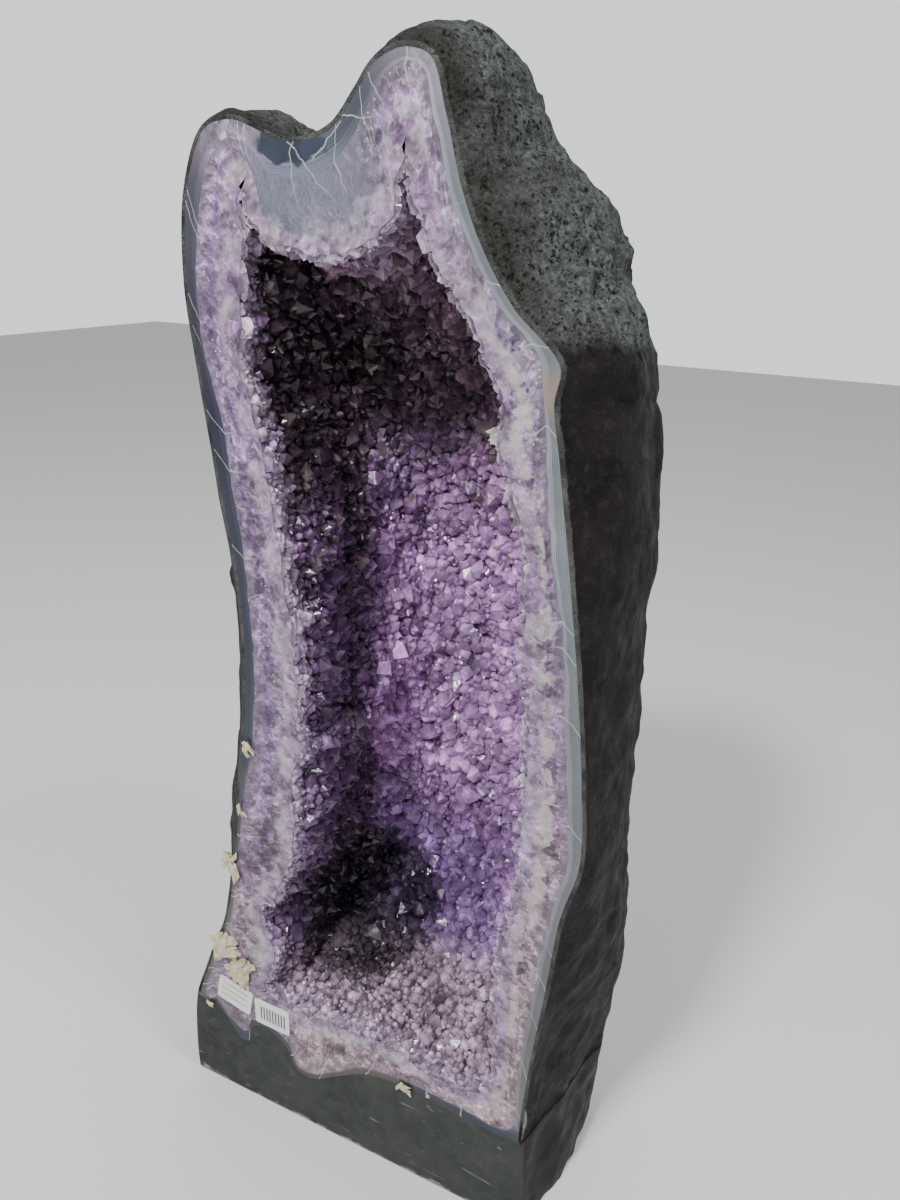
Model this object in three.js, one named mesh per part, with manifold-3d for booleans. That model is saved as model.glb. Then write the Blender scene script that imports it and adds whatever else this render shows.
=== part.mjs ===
// A tall amethyst geode half that stands upright on a cast cement foot.
//
// It is drawn in millimetres with +X to the right of the cut face, +Y from the cut face towards the
// back and +Z up. The sawn and polished face lies in the plane y = 0 and the underside of the foot in
// the plane z = 0. The last section moves the whole part so that the middle of its footprint is the
// origin.

import * as THREE from 'three';
import * as BufferGeometryUtils from 'three/addons/utils/BufferGeometryUtils.js';
import { ConvexGeometry } from 'three/addons/geometries/ConvexGeometry.js';
import Module from 'manifold-3d';

const wasm = await Module();
wasm.setup();

// ---- Driving dimensions, mm ----

const GAP = 0.3;            // clearance between two pieces that touch
const ROCK_EDGE = 2.2;      // width of the rock that shows round the cut face
const ROCK_WALL = 7;        // least rock wall behind the cut face
const ROCK_SHARE = 0.4;     // share of the swell behind the face that is rock wall
const SEAM_Z = 105;         // top of the foot on the sides and the back
const LEAST_AGATE = 2;      // thinnest agate between the quartz and the rock or cement
const LEAST_QUARTZ = 3;     // thinnest quartz between the lining and the agate
const STATION = 34;         // spacing of the points round an outline
const RINGS = 8;            // steps from the cut face to the back
const SOFTENING = 12;       // averaging passes that round the outline off towards the back
const CRYSTAL_PROUD = 1.5;  // how far a crystal may stand out of the cut face
const POCKET_MARGIN = 0.45; // room round a crystal in the piece that holds it
const CUT_LEAD = 6;         // how far a cutting form reaches out in front of the face

// Each form is a lens behind the cut face: the outline shrinks towards its pole, the deepest point.
const BODY = { poleX: 30, poleZ: 430, depth: 262, fullness: 2.8 };
const CORE = { poleX: 30, poleZ: 440, depth: 243, fullness: 2.8 };
const INNER = { poleX: 32, poleZ: 450, depth: 226, fullness: 2.7 };
const LINING = { poleX: 36, poleZ: 455, depth: 187, fullness: 2.6 };
const HOLLOW = { poleX: 36, poleZ: 455, depth: 176, fullness: 2.6 };

// ---- Outlines in the plane of the cut face ----

// Rim of the cut face from the left end of the seam over both peaks to its right end: x, z, and how
// far the body swells out sideways behind that point.
const RIM = [
  [-176, 105, 8], [-160, 150, 10], [-147, 185, 14], [-134, 215, 18], [-121, 275, 26], [-107, 370, 34],
  [-94, 470, 40], [-93, 555, 40], [-105, 640, 32], [-118, 735, 24], [-123, 785, 22], [-117, 845, 20],
  [-98, 883, 16], [-75, 889, 12], [-56, 884, 6], [-38, 877, 0], [-18, 876, 0], [2, 883, 0],
  [18, 900, 4], [32, 916, 16], [52, 923, 24], [72, 917, 28], [83, 888, 32], [94, 850, 46],
  [108, 818, 56], [130, 785, 52], [163, 752, 38], [161, 728, 36], [167, 695, 38], [180, 620, 30],
  [191, 550, 20], [201, 470, 13], [205, 405, 12], [194, 350, 21], [188, 280, 31], [179, 180, 40],
  [176, 105, 40],
];

// Sides of the foot below the seam. They run on under the resting plane, where the form is cut off.
const FOOT_RIGHT = [[180, 50, 42], [182, 0, 44], [176, -70, 44], [120, -140, 30]];
const FOOT_LEFT = [[-110, -140, 20], [-172, -70, 10], [-182, 0, 8], [-182, 50, 8]];

// Upper edge of the cement across the face, from right to left, with a tongue of agate in it.
const CEMENT_EDGE = [
  [165, 103], [110, 104], [60, 107], [20, 100], [-12, 80], [-40, 62], [-57, 65], [-66, 85],
  [-80, 97], [-95, 101], [-107, 95], [-114, 73], [-122, 71], [-135, 85], [-150, 104], [-166, 103],
];

// Line between the agate and the white quartz, up the left, over the top and down the right.
const QUARTZ_EDGE = [
  [-164, 108], [-152, 150], [-139, 190], [-124, 225], [-115, 275], [-103, 350], [-92, 400],
  [-83, 460], [-81, 520], [-84, 585], [-91, 645], [-99, 700], [-111, 750], [-111, 800], [-104, 838],
  [-92, 866], [-75, 876], [-58, 868], [-46, 856], [-20, 852], [4, 862], [22, 882], [36, 902],
  [52, 914], [66, 908], [73, 885], [83, 850], [97, 818], [118, 785], [146, 756], [152, 728],
  [156, 690], [163, 640], [175, 580], [183, 510], [191, 440], [193, 405], [184, 350], [177, 280],
  [168, 180], [164, 114], [110, 114], [60, 116], [18, 108], [-12, 86], [-40, 68], [-54, 70],
  [-64, 92], [-80, 104], [-95, 107], [-110, 101], [-117, 84], [-133, 91], [-148, 109],
];

// Mouth of the hollow: the tips of the crystals that line it, with a narrow groove under each peak.
const MOUTH_EDGE = [
  [-92, 152], [-80, 178], [-79, 208], [-90, 240], [-76, 262], [-62, 290], [-50, 335], [-50, 370],
  [-46, 405], [-38, 430], [-39, 455], [-42, 500], [-47, 550], [-52, 600], [-56, 635], [-60, 672],
  [-70, 705], [-78, 745], [-74, 785], [-71, 815], [-68, 850], [-61, 828], [-40, 812], [-10, 809],
  [22, 813], [41, 828], [49, 848], [54, 870], [60, 843], [70, 821], [80, 801], [94, 785],
  [106, 763], [118, 742], [122, 722], [131, 680], [141, 645], [150, 600], [151, 565], [156, 520],
  [159, 460], [159, 420], [153, 345], [146, 280], [148, 210], [146, 165], [132, 139], [100, 136],
  [65, 142], [30, 150], [-20, 143], [-62, 139],
];

// Line between the white quartz and the purple lining.
const DRUSE_EDGE = [
  [-104, 144], [-92, 178], [-92, 212], [-101, 242], [-88, 268], [-73, 295], [-61, 338], [-60, 372],
  [-56, 408], [-49, 455], [-52, 500], [-57, 550], [-62, 600], [-66, 635], [-71, 672], [-81, 705],
  [-88, 745], [-85, 785], [-81, 822], [-75, 858], [-61, 858], [-50, 828], [-30, 820], [-8, 818],
  [18, 822], [32, 837], [40, 858], [49, 882], [61, 882], [71, 850], [80, 826], [91, 808],
  [104, 789], [117, 766], [129, 745], [132, 722], [141, 682], [151, 647], [160, 602], [161, 565],
  [166, 520], [169, 460], [169, 420], [163, 345], [156, 280], [158, 210], [155, 160], [138, 129],
  [100, 127], [65, 132], [30, 140], [-20, 133], [-68, 128],
];

// ---- Geometry helpers ----

// Evenly spaced stations on a smooth curve through the given rows of x, z and swell.
function stations(rows) {
  const points = rows.map(([x, z, swell = 0]) => new THREE.Vector3(x, z, swell));
  const curve = new THREE.CatmullRomCurve3(points, false, 'centripetal');
  const spaced = curve.getSpacedPoints(Math.round(curve.getLength() / STATION));
  return spaced.map((p) => ({ x: p.x, z: p.y, swell: Math.max(p.z, 0) }));
}

// The given points themselves, for an outline whose narrow grooves have to stay sharp.
function corners(rows) {
  return rows.map(([x, z]) => ({ x, z, swell: 0 }));
}

// Outward direction in the plane of the face at each station of a clockwise outline.
function outwards(outline) {
  return outline.map((point, i) => {
    const before = outline[(i + outline.length - 1) % outline.length];
    const after = outline[(i + 1) % outline.length];
    return new THREE.Vector2(before.z - after.z, after.x - before.x).normalize();
  });
}

// A repeatable value from -1 to 1 for a place on the body, for its natural unevenness.
function unevenness(x, y, z) {
  const wave = Math.sin(x * 0.051 + z * 0.037) + Math.sin(y * 0.063 - z * 0.029 + 1.7);
  return (wave + Math.sin(x * 0.097 + y * 0.083 + z * 0.071 + 0.6)) / 3;
}

// The upper body swells most near the face and the foot further back, which keeps its sides straight.
function swellPower(z) {
  return THREE.MathUtils.lerp(1.6, 0.75, THREE.MathUtils.smoothstep(z, 50, 350));
}

// The outline with its small bays and points averaged away, as it is deeper behind the face.
function softened(outline) {
  let points = outline;
  for (let pass = 0; pass < SOFTENING; pass += 1) {
    points = points.map((point, i) => {
      const before = points[(i + points.length - 1) % points.length];
      const after = points[(i + 1) % points.length];
      return {
        x: (before.x + 2 * point.x + after.x) / 4,
        z: (before.z + 2 * point.z + after.z) / 4,
      };
    });
  }
  return points;
}

// Closed solid behind an outline. The walls leave the face squarely and close at the pole, swelling
// by each station's swell on the way; `grow` moves the walls out and `lead` starts them in front of
// the face.
function lens(outline, form, { grow = 0, lead = 0, rough = 0 } = {}) {
  const normals = outwards(outline);
  const soft = softened(outline);
  const count = outline.length;
  const vertices = [];
  for (let ring = 0; ring < RINGS; ring += 1) {
    const t = Math.sin((ring / RINGS) * Math.PI * 0.5);
    const shrink = (1 - t ** form.fullness) ** (1 / form.fullness);
    const softShare = THREE.MathUtils.smoothstep(t, 0.1, 0.8);
    outline.forEach((point, i) => {
      const y = form.depth * t;
      const swellShare = Math.sin(Math.PI * t ** swellPower(point.z));
      const uneven = rough * swellShare * unevenness(point.x, y, point.z);
      const out = point.swell * swellShare + uneven;
      const deepX = THREE.MathUtils.lerp(point.x, soft[i].x, softShare) - form.poleX;
      const deepZ = THREE.MathUtils.lerp(point.z, soft[i].z, softShare) - form.poleZ;
      const x = form.poleX + deepX * shrink + normals[i].x * out;
      const z = form.poleZ + deepZ * shrink + normals[i].y * out;
      vertices.push(new THREE.Vector3(x, y, z));
    });
  }
  const pole = vertices.push(new THREE.Vector3(form.poleX, form.depth, form.poleZ)) - 1;

  const walls = [];
  for (let ring = 0; ring < RINGS; ring += 1) {
    for (let i = 0; i < count; i += 1) {
      const a = ring * count + i;
      const b = ring * count + ((i + 1) % count);
      if (ring === RINGS - 1) {
        walls.push(a, b, pole);
      } else {
        walls.push(a, b, a + count, b, b + count, a + count);
      }
    }
  }
  growWalls(vertices, walls, count, grow);

  const front = outline.map((_, i) => vertices.push(
    new THREE.Vector3(vertices[i].x, -lead, vertices[i].z)) - 1);
  for (let i = 0; i < count && lead > 0; i += 1) {
    const next = (i + 1) % count;
    walls.push(front[i], front[next], i, front[next], next, i);
  }
  const cap = lead > 0 ? front : outline.map((_, i) => i);
  return solid(vertices, walls.concat(faceCap(vertices, cap)));
}

// Moves wall vertices along their normals; the ring in the face only moves within the face.
function growWalls(vertices, walls, count, grow) {
  const geometry = new THREE.BufferGeometry().setFromPoints(vertices);
  geometry.setIndex(walls);
  geometry.computeVertexNormals();
  const normal = new THREE.Vector3();
  vertices.forEach((vertex, i) => {
    normal.fromBufferAttribute(geometry.attributes.normal, i);
    if (i < count) {
      normal.setY(0).normalize();
    }
    vertex.addScaledVector(normal, grow);
  });
}

// Triangles that fill a ring of vertices in the plane of the face, turned to face -Y.
function faceCap(vertices, ring) {
  const contour = ring.map((i) => new THREE.Vector2(vertices[i].x, vertices[i].z));
  return THREE.ShapeUtils.triangulateShape(contour, []).flatMap((face) => {
    const [a, b, c] = face.map((k) => contour[k]);
    const area = (b.x - a.x) * (c.y - a.y) - (c.x - a.x) * (b.y - a.y);
    const turned = area > 0 ? face : [face[0], face[2], face[1]];
    return turned.map((k) => ring[k]);
  });
}

function solid(vertices, triangles) {
  const used = [...new Set(triangles)];
  const place = new Map(used.map((old, i) => [old, i]));
  return new wasm.Manifold(new wasm.Mesh({
    numProp: 3,
    vertProperties: new Float32Array(used.flatMap((i) => vertices[i].toArray())),
    triVerts: new Uint32Array(triangles.map((i) => place.get(i))),
  }));
}

function solidFromGeometry(geometry) {
  const bare = geometry.clone();
  bare.deleteAttribute('normal');
  bare.deleteAttribute('uv');
  const merged = BufferGeometryUtils.mergeVertices(bare);
  return new wasm.Manifold(new wasm.Mesh({
    numProp: 3,
    vertProperties: new Float32Array(merged.attributes.position.array),
    triVerts: new Uint32Array(merged.index.array),
  }));
}

// Axis-aligned block between two corners.
function block(low, high) {
  const size = high.map((value, i) => value - low[i]);
  const geometry = new THREE.BoxGeometry(...size);
  geometry.translate(...low.map((value, i) => value + size[i] / 2));
  return solidFromGeometry(geometry);
}

function material(name, colour, roughness) {
  return new THREE.MeshStandardMaterial({ name, color: colour, roughness, metalness: 0 });
}

const part = new THREE.Group();
part.name = 'geode_half';

function addPiece(name, body, look) {
  const mesh = body.getMesh();
  const geometry = new THREE.BufferGeometry();
  geometry.setAttribute('position', new THREE.BufferAttribute(mesh.vertProperties, 3));
  geometry.setIndex(new THREE.BufferAttribute(mesh.triVerts, 1));
  const flat = geometry.toNonIndexed();
  flat.computeVertexNormals();
  const piece = new THREE.Mesh(flat, look);
  piece.name = name;
  part.add(piece);
}

// ---- Nested forms: body, agate core, quartz and hollow ----

const rim = stations(RIM);
const rimNormals = outwards(rim);
rimNormals[0].set(-1, 0);
rimNormals[rim.length - 1].set(1, 0);
const coreRim = rim.map((point, i) => ({
  x: point.x - rimNormals[i].x * ROCK_EDGE,
  z: point.z - rimNormals[i].y * ROCK_EDGE,
  swell: point.swell * (1 - ROCK_SHARE) - ROCK_WALL,
}));
const bodyOutline = rim.concat(stations(FOOT_RIGHT), stations(FOOT_LEFT));
const coreOutline = coreRim.concat(stations(CEMENT_EDGE));
const quartzOutline = corners(QUARTZ_EDGE);
const druseOutline = corners(DRUSE_EDGE);
const mouthOutline = corners(MOUTH_EDGE);

const bodyForm = lens(bodyOutline, BODY, { rough: 5 });
const coreForm = lens(coreOutline, CORE, { grow: -GAP / 2 });
const coreCut = lens(coreOutline, CORE, { grow: GAP / 2, lead: CUT_LEAD });
const hollowCut = lens(mouthOutline, HOLLOW, { lead: CUT_LEAD });

// The quartz never comes nearer than the least agate to the core's wall.
function quartzBody(extra) {
  const inside = lens(coreOutline, CORE, { grow: extra - LEAST_AGATE, lead: CUT_LEAD });
  return lens(quartzOutline, INNER, { grow: extra, lead: CUT_LEAD }).intersect(inside);
}

// The lining follows the hollow and never comes nearer than the least quartz to the agate.
function druseBody(extra) {
  const inside = quartzBody(extra - LEAST_QUARTZ);
  return lens(druseOutline, LINING, { grow: extra, lead: CUT_LEAD }).intersect(inside);
}

const FAR = 600;
const belowSeam = block([-FAR, -FAR, 0], [FAR, FAR, SEAM_Z - GAP / 2]);
const behindFace = block([-FAR, 0, -FAR], [FAR, FAR, 2 * FAR]);
const aboveSeam = block([-FAR, -FAR, SEAM_Z + GAP / 2], [FAR, FAR, 2 * FAR]);

const pieces = {
  cement_foot: bodyForm.intersect(belowSeam).subtract(coreCut),
  rock_shell: bodyForm.intersect(aboveSeam).subtract(coreCut),
  agate_band: coreForm.subtract(quartzBody(GAP / 2)),
  quartz_band: quartzBody(-GAP / 2).intersect(behindFace).subtract(druseBody(GAP / 2)),
  amethyst_druse: druseBody(-GAP / 2).intersect(behindFace).subtract(hollowCut),
};

// ---- Crystals with a shape of their own ----

const CALCITE = 'calcite_cream';
const AMETHYST = 'amethyst_point';
const PALE = 'quartz_pale';

// A broken calcite blade: length along X, width along Z, thickness along Y.
const BLADE_END = [
  [-0.5, 0.05], [-0.3, 0.45], [0.2, 0.5], [0.5, 0.12], [0.35, -0.42], [-0.35, -0.45],
];

function bladeSolid([length, width, thickness]) {
  const points = BLADE_END.flatMap(([x, z], i) => [
    new THREE.Vector3(x * length, (-0.5 + 0.08 * (i % 2)) * thickness, z * width),
    new THREE.Vector3(x * length * 0.85, (0.5 - 0.1 * (i % 3)) * thickness, z * width * 0.8),
  ]);
  return new ConvexGeometry(points);
}

// A quartz point: a short six-sided column along X with a tip of six faces.
function pointSolid([length, width]) {
  const points = [new THREE.Vector3(length / 2, 0, 0)];
  for (let i = 0; i < 6; i += 1) {
    const angle = (i / 6) * 2 * Math.PI;
    const side = [Math.cos(angle) * width / 2, Math.sin(angle) * width / 2];
    points.push(new THREE.Vector3(-length / 2, ...side), new THREE.Vector3(length * 0.12, ...side));
  }
  return new ConvexGeometry(points);
}

// name, look, centre x y z, size, then the turn about Z (how far it points into the rock) and about
// Y (its tilt in the plane of the face), in degrees
const CRYSTALS = [
  ['calcite_upper_blade', CALCITE, [-134, 6, 186], [28, 16, 15], 0, 50],
  ['calcite_lower_blade', CALCITE, [-116, 6, 162], [28, 14, 15], 0, 56],
  ['calcite_edge_cluster', CALCITE, [-119, 7, 284], [44, 20, 17], 0, -75],
  ['calcite_edge_small', CALCITE, [-102, 5, 353], [16, 10, 12], 0, -60],
  ['calcite_left_middle', CALCITE, [-90, 5, 415], [20, 13, 12], 0, -80],
  ['calcite_foot_corner', CALCITE, [-160, 5, 101], [13, 9, 12], 0, -20],
  ['calcite_foot_middle', CALCITE, [62, 4, 110], [15, 9, 10], 0, 10],
  ['calcite_floor_chunk', CALCITE, [-16, 27, 150], [20, 18, 14], 20, -60],
  ['amethyst_point_upper', AMETHYST, [-44, 100, 558], [40, 27], -40, -15],
  ['amethyst_point_middle', AMETHYST, [-42, 92, 528], [34, 22], -30, 10],
  ['amethyst_point_left', AMETHYST, [-52, 12, 430], [36, 24], -10, -5],
  ['amethyst_point_low', AMETHYST, [-90, 13, 196], [36, 24], -15, -8],
  ['quartz_point_right', PALE, [123, 8, 705], [25, 17], 188, 10],
];

const crystalLooks = {
  [CALCITE]: material(CALCITE, 0xd9ceb2, 0.5),
  [AMETHYST]: material(AMETHYST, 0x8a6aa6, 0.2),
  [PALE]: material(PALE, 0xb9b7b5, 0.25),
};

function placedCrystal([, look, centre, size, turn, tilt], margin) {
  const grown = size.map((value) => value + 2 * margin);
  const shape = look === CALCITE ? bladeSolid(grown) : pointSolid(grown);
  shape.rotateY(THREE.MathUtils.degToRad(tilt));
  shape.rotateZ(THREE.MathUtils.degToRad(turn));
  shape.translate(...centre);
  return solidFromGeometry(shape);
}

const proudOfFace = block([-FAR, -CRYSTAL_PROUD, -FAR], [FAR, FAR, 2 * FAR]);
const crystals = {};
CRYSTALS.forEach((row) => {
  const [name, look] = row;
  crystals[name] = { body: placedCrystal(row, 0).intersect(proudOfFace), look: crystalLooks[look] };
  const pocket = placedCrystal(row, POCKET_MARGIN);
  Object.keys(pieces).forEach((host) => {
    pieces[host] = pieces[host].subtract(pocket);
  });
});

// ---- Paper labels on the cut face ----

const LABEL = { width: 40, height: 30, thickness: 0.5 };
const labelLook = material('label_paper', 0xe4e5e3, 0.7);

// A blank sheet stuck flat on the face, turned within the face.
function labelBody([x, z, tilt]) {
  const sheet = new THREE.BoxGeometry(LABEL.width, LABEL.thickness, LABEL.height);
  sheet.rotateY(THREE.MathUtils.degToRad(tilt));
  sheet.translate(x, -GAP - LABEL.thickness / 2, z);
  return solidFromGeometry(sheet);
}

const labels = {
  label_left: labelBody([-127, 127, 11]),
  label_right: labelBody([-83, 120, 0]),
};

// ---- Assembly, with the origin moved to the middle of the footprint ----

const looks = {
  cement_foot: material('cement_dark', 0x2b302e, 0.55),
  rock_shell: material('basalt_coated', 0x3a3a35, 0.85),
  agate_band: material('agate_blue_grey', 0x6f7686, 0.2),
  quartz_band: material('quartz_lilac_white', 0xbcb2c2, 0.3),
  amethyst_druse: material('amethyst_purple', 0x5b3a78, 0.25),
};

// Loose chips that a cut leaves are dropped: each piece is its largest single body.
function largest(body) {
  return body.decompose().sort((one, other) => other.volume() - one.volume())[0];
}

Object.entries(pieces).forEach(([name, body]) => addPiece(name, largest(body), looks[name]));
Object.entries(crystals).forEach(([name, { body, look }]) => addPiece(name, body, look));
Object.entries(labels).forEach(([name, body]) => addPiece(name, body, labelLook));

const bounds = new THREE.Box3().setFromObject(part);
const middle = bounds.getCenter(new THREE.Vector3());
part.children.forEach((piece) => piece.geometry.translate(-middle.x, -middle.y, -bounds.min.z));

export default part;
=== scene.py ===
"""Visual scene of a tall amethyst geode half standing upright on a cast cement foot.

Shapes are drawn in millimetres on the plane of the cut face (x to the right, y into the stone, z up)
and placed in the CAD frame in metres by place().
"""
import math

import bpy
import numpy as np
from mathutils import Matrix, Vector


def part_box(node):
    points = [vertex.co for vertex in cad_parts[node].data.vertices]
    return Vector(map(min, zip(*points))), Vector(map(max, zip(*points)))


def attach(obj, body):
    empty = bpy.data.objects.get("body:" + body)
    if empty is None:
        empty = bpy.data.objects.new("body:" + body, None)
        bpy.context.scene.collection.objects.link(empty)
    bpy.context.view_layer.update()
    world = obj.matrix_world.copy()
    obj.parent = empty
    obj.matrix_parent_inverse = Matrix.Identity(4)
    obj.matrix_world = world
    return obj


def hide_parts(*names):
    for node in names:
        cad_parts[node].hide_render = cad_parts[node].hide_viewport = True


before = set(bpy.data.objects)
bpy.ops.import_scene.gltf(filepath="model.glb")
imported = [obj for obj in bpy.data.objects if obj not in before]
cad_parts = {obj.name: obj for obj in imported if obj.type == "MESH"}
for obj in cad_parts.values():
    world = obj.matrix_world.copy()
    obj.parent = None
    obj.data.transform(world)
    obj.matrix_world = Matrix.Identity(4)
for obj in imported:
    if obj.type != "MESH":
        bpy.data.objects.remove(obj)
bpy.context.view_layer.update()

# ----------------------------------------
# Rock skin: weathered basalt that the geode grew in, bare and pitted at the top and under a
# near-black brushed coat lower down. It is one closed shell whose thin edge shows round the face.
# ----------------------------------------
MM = 0.001
LABEL_RIGHT_X = -83.0
FACE_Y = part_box("quartz_band")[0].y
FACE_X = sum(corner.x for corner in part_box("label_right")) / 2 - LABEL_RIGHT_X * MM


def place(points):
    """Millimetres on the drawn face to metres in the CAD frame."""
    return np.asarray(points, float) * MM + np.array([FACE_X, FACE_Y, 0.0])


RIM = [
    (-176, 105, 8), (-160, 150, 10), (-147, 185, 14), (-134, 215, 18), (-121, 275, 26),
    (-107, 370, 34), (-94, 470, 40), (-93, 555, 40), (-105, 640, 32), (-118, 735, 24),
    (-123, 785, 22), (-117, 845, 20), (-98, 883, 16), (-75, 889, 12), (-56, 884, 6),
    (-38, 877, 0), (-18, 876, 0), (2, 883, 0), (18, 900, 4), (32, 916, 16), (52, 923, 24),
    (72, 917, 28), (83, 888, 32), (94, 850, 46), (108, 818, 56), (130, 785, 52), (163, 752, 38),
    (161, 728, 36), (167, 695, 38), (180, 620, 30), (191, 550, 20), (201, 470, 13),
    (205, 405, 12), (194, 350, 21), (188, 280, 31), (179, 180, 40), (176, 105, 40),
]
FOOT_SIDES = [
    (180, 50, 42), (182, 0, 44), (176, -70, 44), (120, -140, 30), (0, -142, 20),
    (-110, -140, 20), (-172, -70, 10), (-182, 0, 8), (-182, 50, 8),
]


def smooth_curve(rows):
    """Dense points of the closed centripetal Catmull-Rom curve through rows, 24 to a row."""
    p = np.array(rows, float)
    p0, p1, p2, p3 = np.roll(p, 1, 0), p, np.roll(p, -1, 0), np.roll(p, -2, 0)

    def knot(a, b):
        return np.linalg.norm((b - a)[:, :2], axis=1)[:, None, None] ** 0.5

    t1 = knot(p0, p1)
    t2 = t1 + knot(p1, p2)
    t3 = t2 + knot(p2, p3)
    t = t1 + (t2 - t1) * (np.arange(24) / 24)[None, :, None]
    p0, p1, p2, p3 = (q[:, None, :] for q in (p0, p1, p2, p3))
    a1 = (t1 - t) / t1 * p0 + t / t1 * p1
    a2 = (t2 - t) / (t2 - t1) * p1 + (t - t1) / (t2 - t1) * p2
    a3 = (t3 - t) / (t3 - t2) * p2 + (t - t2) / (t3 - t2) * p3
    b1 = (t2 - t) / t2 * a1 + t / t2 * a2
    b2 = (t3 - t) / (t3 - t1) * a2 + (t - t1) / (t3 - t1) * a3
    return ((t2 - t) / (t2 - t1) * b1 + (t - t1) / (t2 - t1) * b2).reshape(-1, p.shape[1])


def run_along(line):
    """Distance along a line of points, from 0 at its first one."""
    return np.concatenate([[0], np.cumsum(np.linalg.norm(np.diff(line, axis=0), axis=1))])


def unit(vectors):
    """v / |v|"""
    return vectors / np.linalg.norm(vectors, axis=-1, keepdims=True)


def stations(rows, marks, counts):
    """Stations on the closed curve, counts[k] of them evenly spaced between marks k and k + 1."""
    dense = smooth_curve(rows)
    dense = np.vstack([dense, dense[:1]])
    length = run_along(dense[:, :2])
    ends = [length[m * 24] for m in marks] + [length[-1]]
    where = np.concatenate([
        np.linspace(ends[k], ends[k + 1], counts[k], endpoint=False) for k in range(len(counts))])
    return np.stack([np.interp(where, length, column) for column in dense.T], axis=1)


def outward(outline):
    """Unit outward normals in the face of a clockwise outline."""
    step = np.roll(outline, -1, 0)[:, :2] - np.roll(outline, 1, 0)[:, :2]
    return unit(np.stack([-step[:, 1], step[:, 0]], axis=1))


def softened(values, sigma):
    """values blurred round the outline by a Gaussian of sigma stations, as a circular product."""
    frequency = np.fft.fftfreq(len(values))
    kernel = np.exp(-2 * (math.pi * sigma * frequency) ** 2)
    return np.real(np.fft.ifft(np.fft.fft(values, axis=0) * kernel[:, None], axis=0))


def lattice_noise(points, scale, seed):
    """Smooth value noise in -1..1: hashed lattice values mixed by s(f) = f * f * (3 - 2 f)."""
    p = np.asarray(points, float) / scale + seed * 17.31
    cell = np.floor(p).astype(np.int64)
    f = p - cell
    f = f * f * (3 - 2 * f)
    total = np.zeros(p.shape[:-1])
    for corner in range(8):
        bit = np.array([corner & 1, corner >> 1 & 1, corner >> 2 & 1])
        h = ((cell + bit) * np.array([73856093, 19349663, 83492791])).sum(-1) + seed * 2654435
        h = (h ^ (h >> 13)) * 1274126177 & 0x7FFFFFFF
        h = (h ^ (h >> 16)) & 0xFFFF
        weight = np.prod(np.where(bit, f, 1 - f), axis=-1)
        total += weight * (h / 32767.5 - 1)
    return total


def layered_noise(points, scale, seed, octaves):
    """Sum of lattice_noise at halving scales and halving weights."""
    return sum(lattice_noise(points, scale / 2 ** k, seed + k) / 2 ** k for k in range(octaves))


def smoothstep(low, high, x):
    """0 below low, 1 above high, and t * t * (3 - 2 t) between."""
    t = np.clip((x - low) / (high - low), 0, 1)
    return t * t * (3 - 2 * t)


# Each nested form is a lens behind the cut face that closes at its pole: x, z, depth, fullness.
BODY = (30, 430, 262, 2.8)
CORE = (30, 440, 243, 2.8)


SOFTENED_OVER = 83


def lens(outline, swell, form, share):
    """Wall points (ring, station, xyz) at share t of the depth, from the face inwards.

    P = pole + (outline - pole) (1 - t^n)^(1/n) + normal swell sin(pi t^p), y = depth t. The outline
    is softened over 83 mm as it goes deeper, and swells nearer to the face low down.
    """
    pole_x, pole_z, depth, fullness = form
    pole = np.array([pole_x, pole_z], float)
    flat = outline[:, :2]
    t = np.asarray(share, float)[:, None, None]
    soft = softened(flat, SOFTENED_OVER / (np.linalg.norm(np.diff(flat, axis=0), axis=1).mean()))
    mixed = flat + (soft - flat) * smoothstep(0.1, 0.8, t)
    shrink = (1 - t ** fullness) ** (1 / fullness)
    power = 1.6 - 0.85 * smoothstep(50, 350, flat[:, 1])
    bulge = swell[None, :, None] * np.sin(math.pi * t ** power[None, :, None])
    across = pole + (mixed - pole) * shrink + outward(outline)[None] * bulge
    y = np.broadcast_to(depth * t[..., 0], across.shape[:2])
    return np.stack([across[..., 0], y, across[..., 1]], axis=-1)


def depth_shares(rings):
    """Shares of the depth for the rings, sin(pi / 2 * ring / rings), closer together near the pole."""
    return np.sin(np.arange(rings) / rings * math.pi / 2)


def pole(form):
    """Point in drawn mm where a lens closes."""
    return form[0], form[2], form[1]


def new_mesh(name, points, loops, sizes):
    """Mesh of points in drawn mm, with its faces' corners one after another and the size of each."""
    mesh = bpy.data.meshes.new(name)
    mesh.vertices.add(len(points))
    mesh.vertices.foreach_set("co", place(points).astype(np.float32).ravel())
    mesh.loops.add(len(loops))
    mesh.loops.foreach_set("vertex_index", loops.astype(np.int32))
    mesh.polygons.add(len(sizes))
    mesh.polygons.foreach_set("loop_start", (np.cumsum(sizes) - sizes).astype(np.int32))
    mesh.update(calc_edges=True)
    return mesh


def colour_points(mesh, name, rgba):
    """Colour attribute with one value for each point of the mesh."""
    layer = mesh.color_attributes.new(name, "FLOAT_COLOR", "POINT")
    layer.data.foreach_set("color", rgba.astype(np.float32).ravel())


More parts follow.
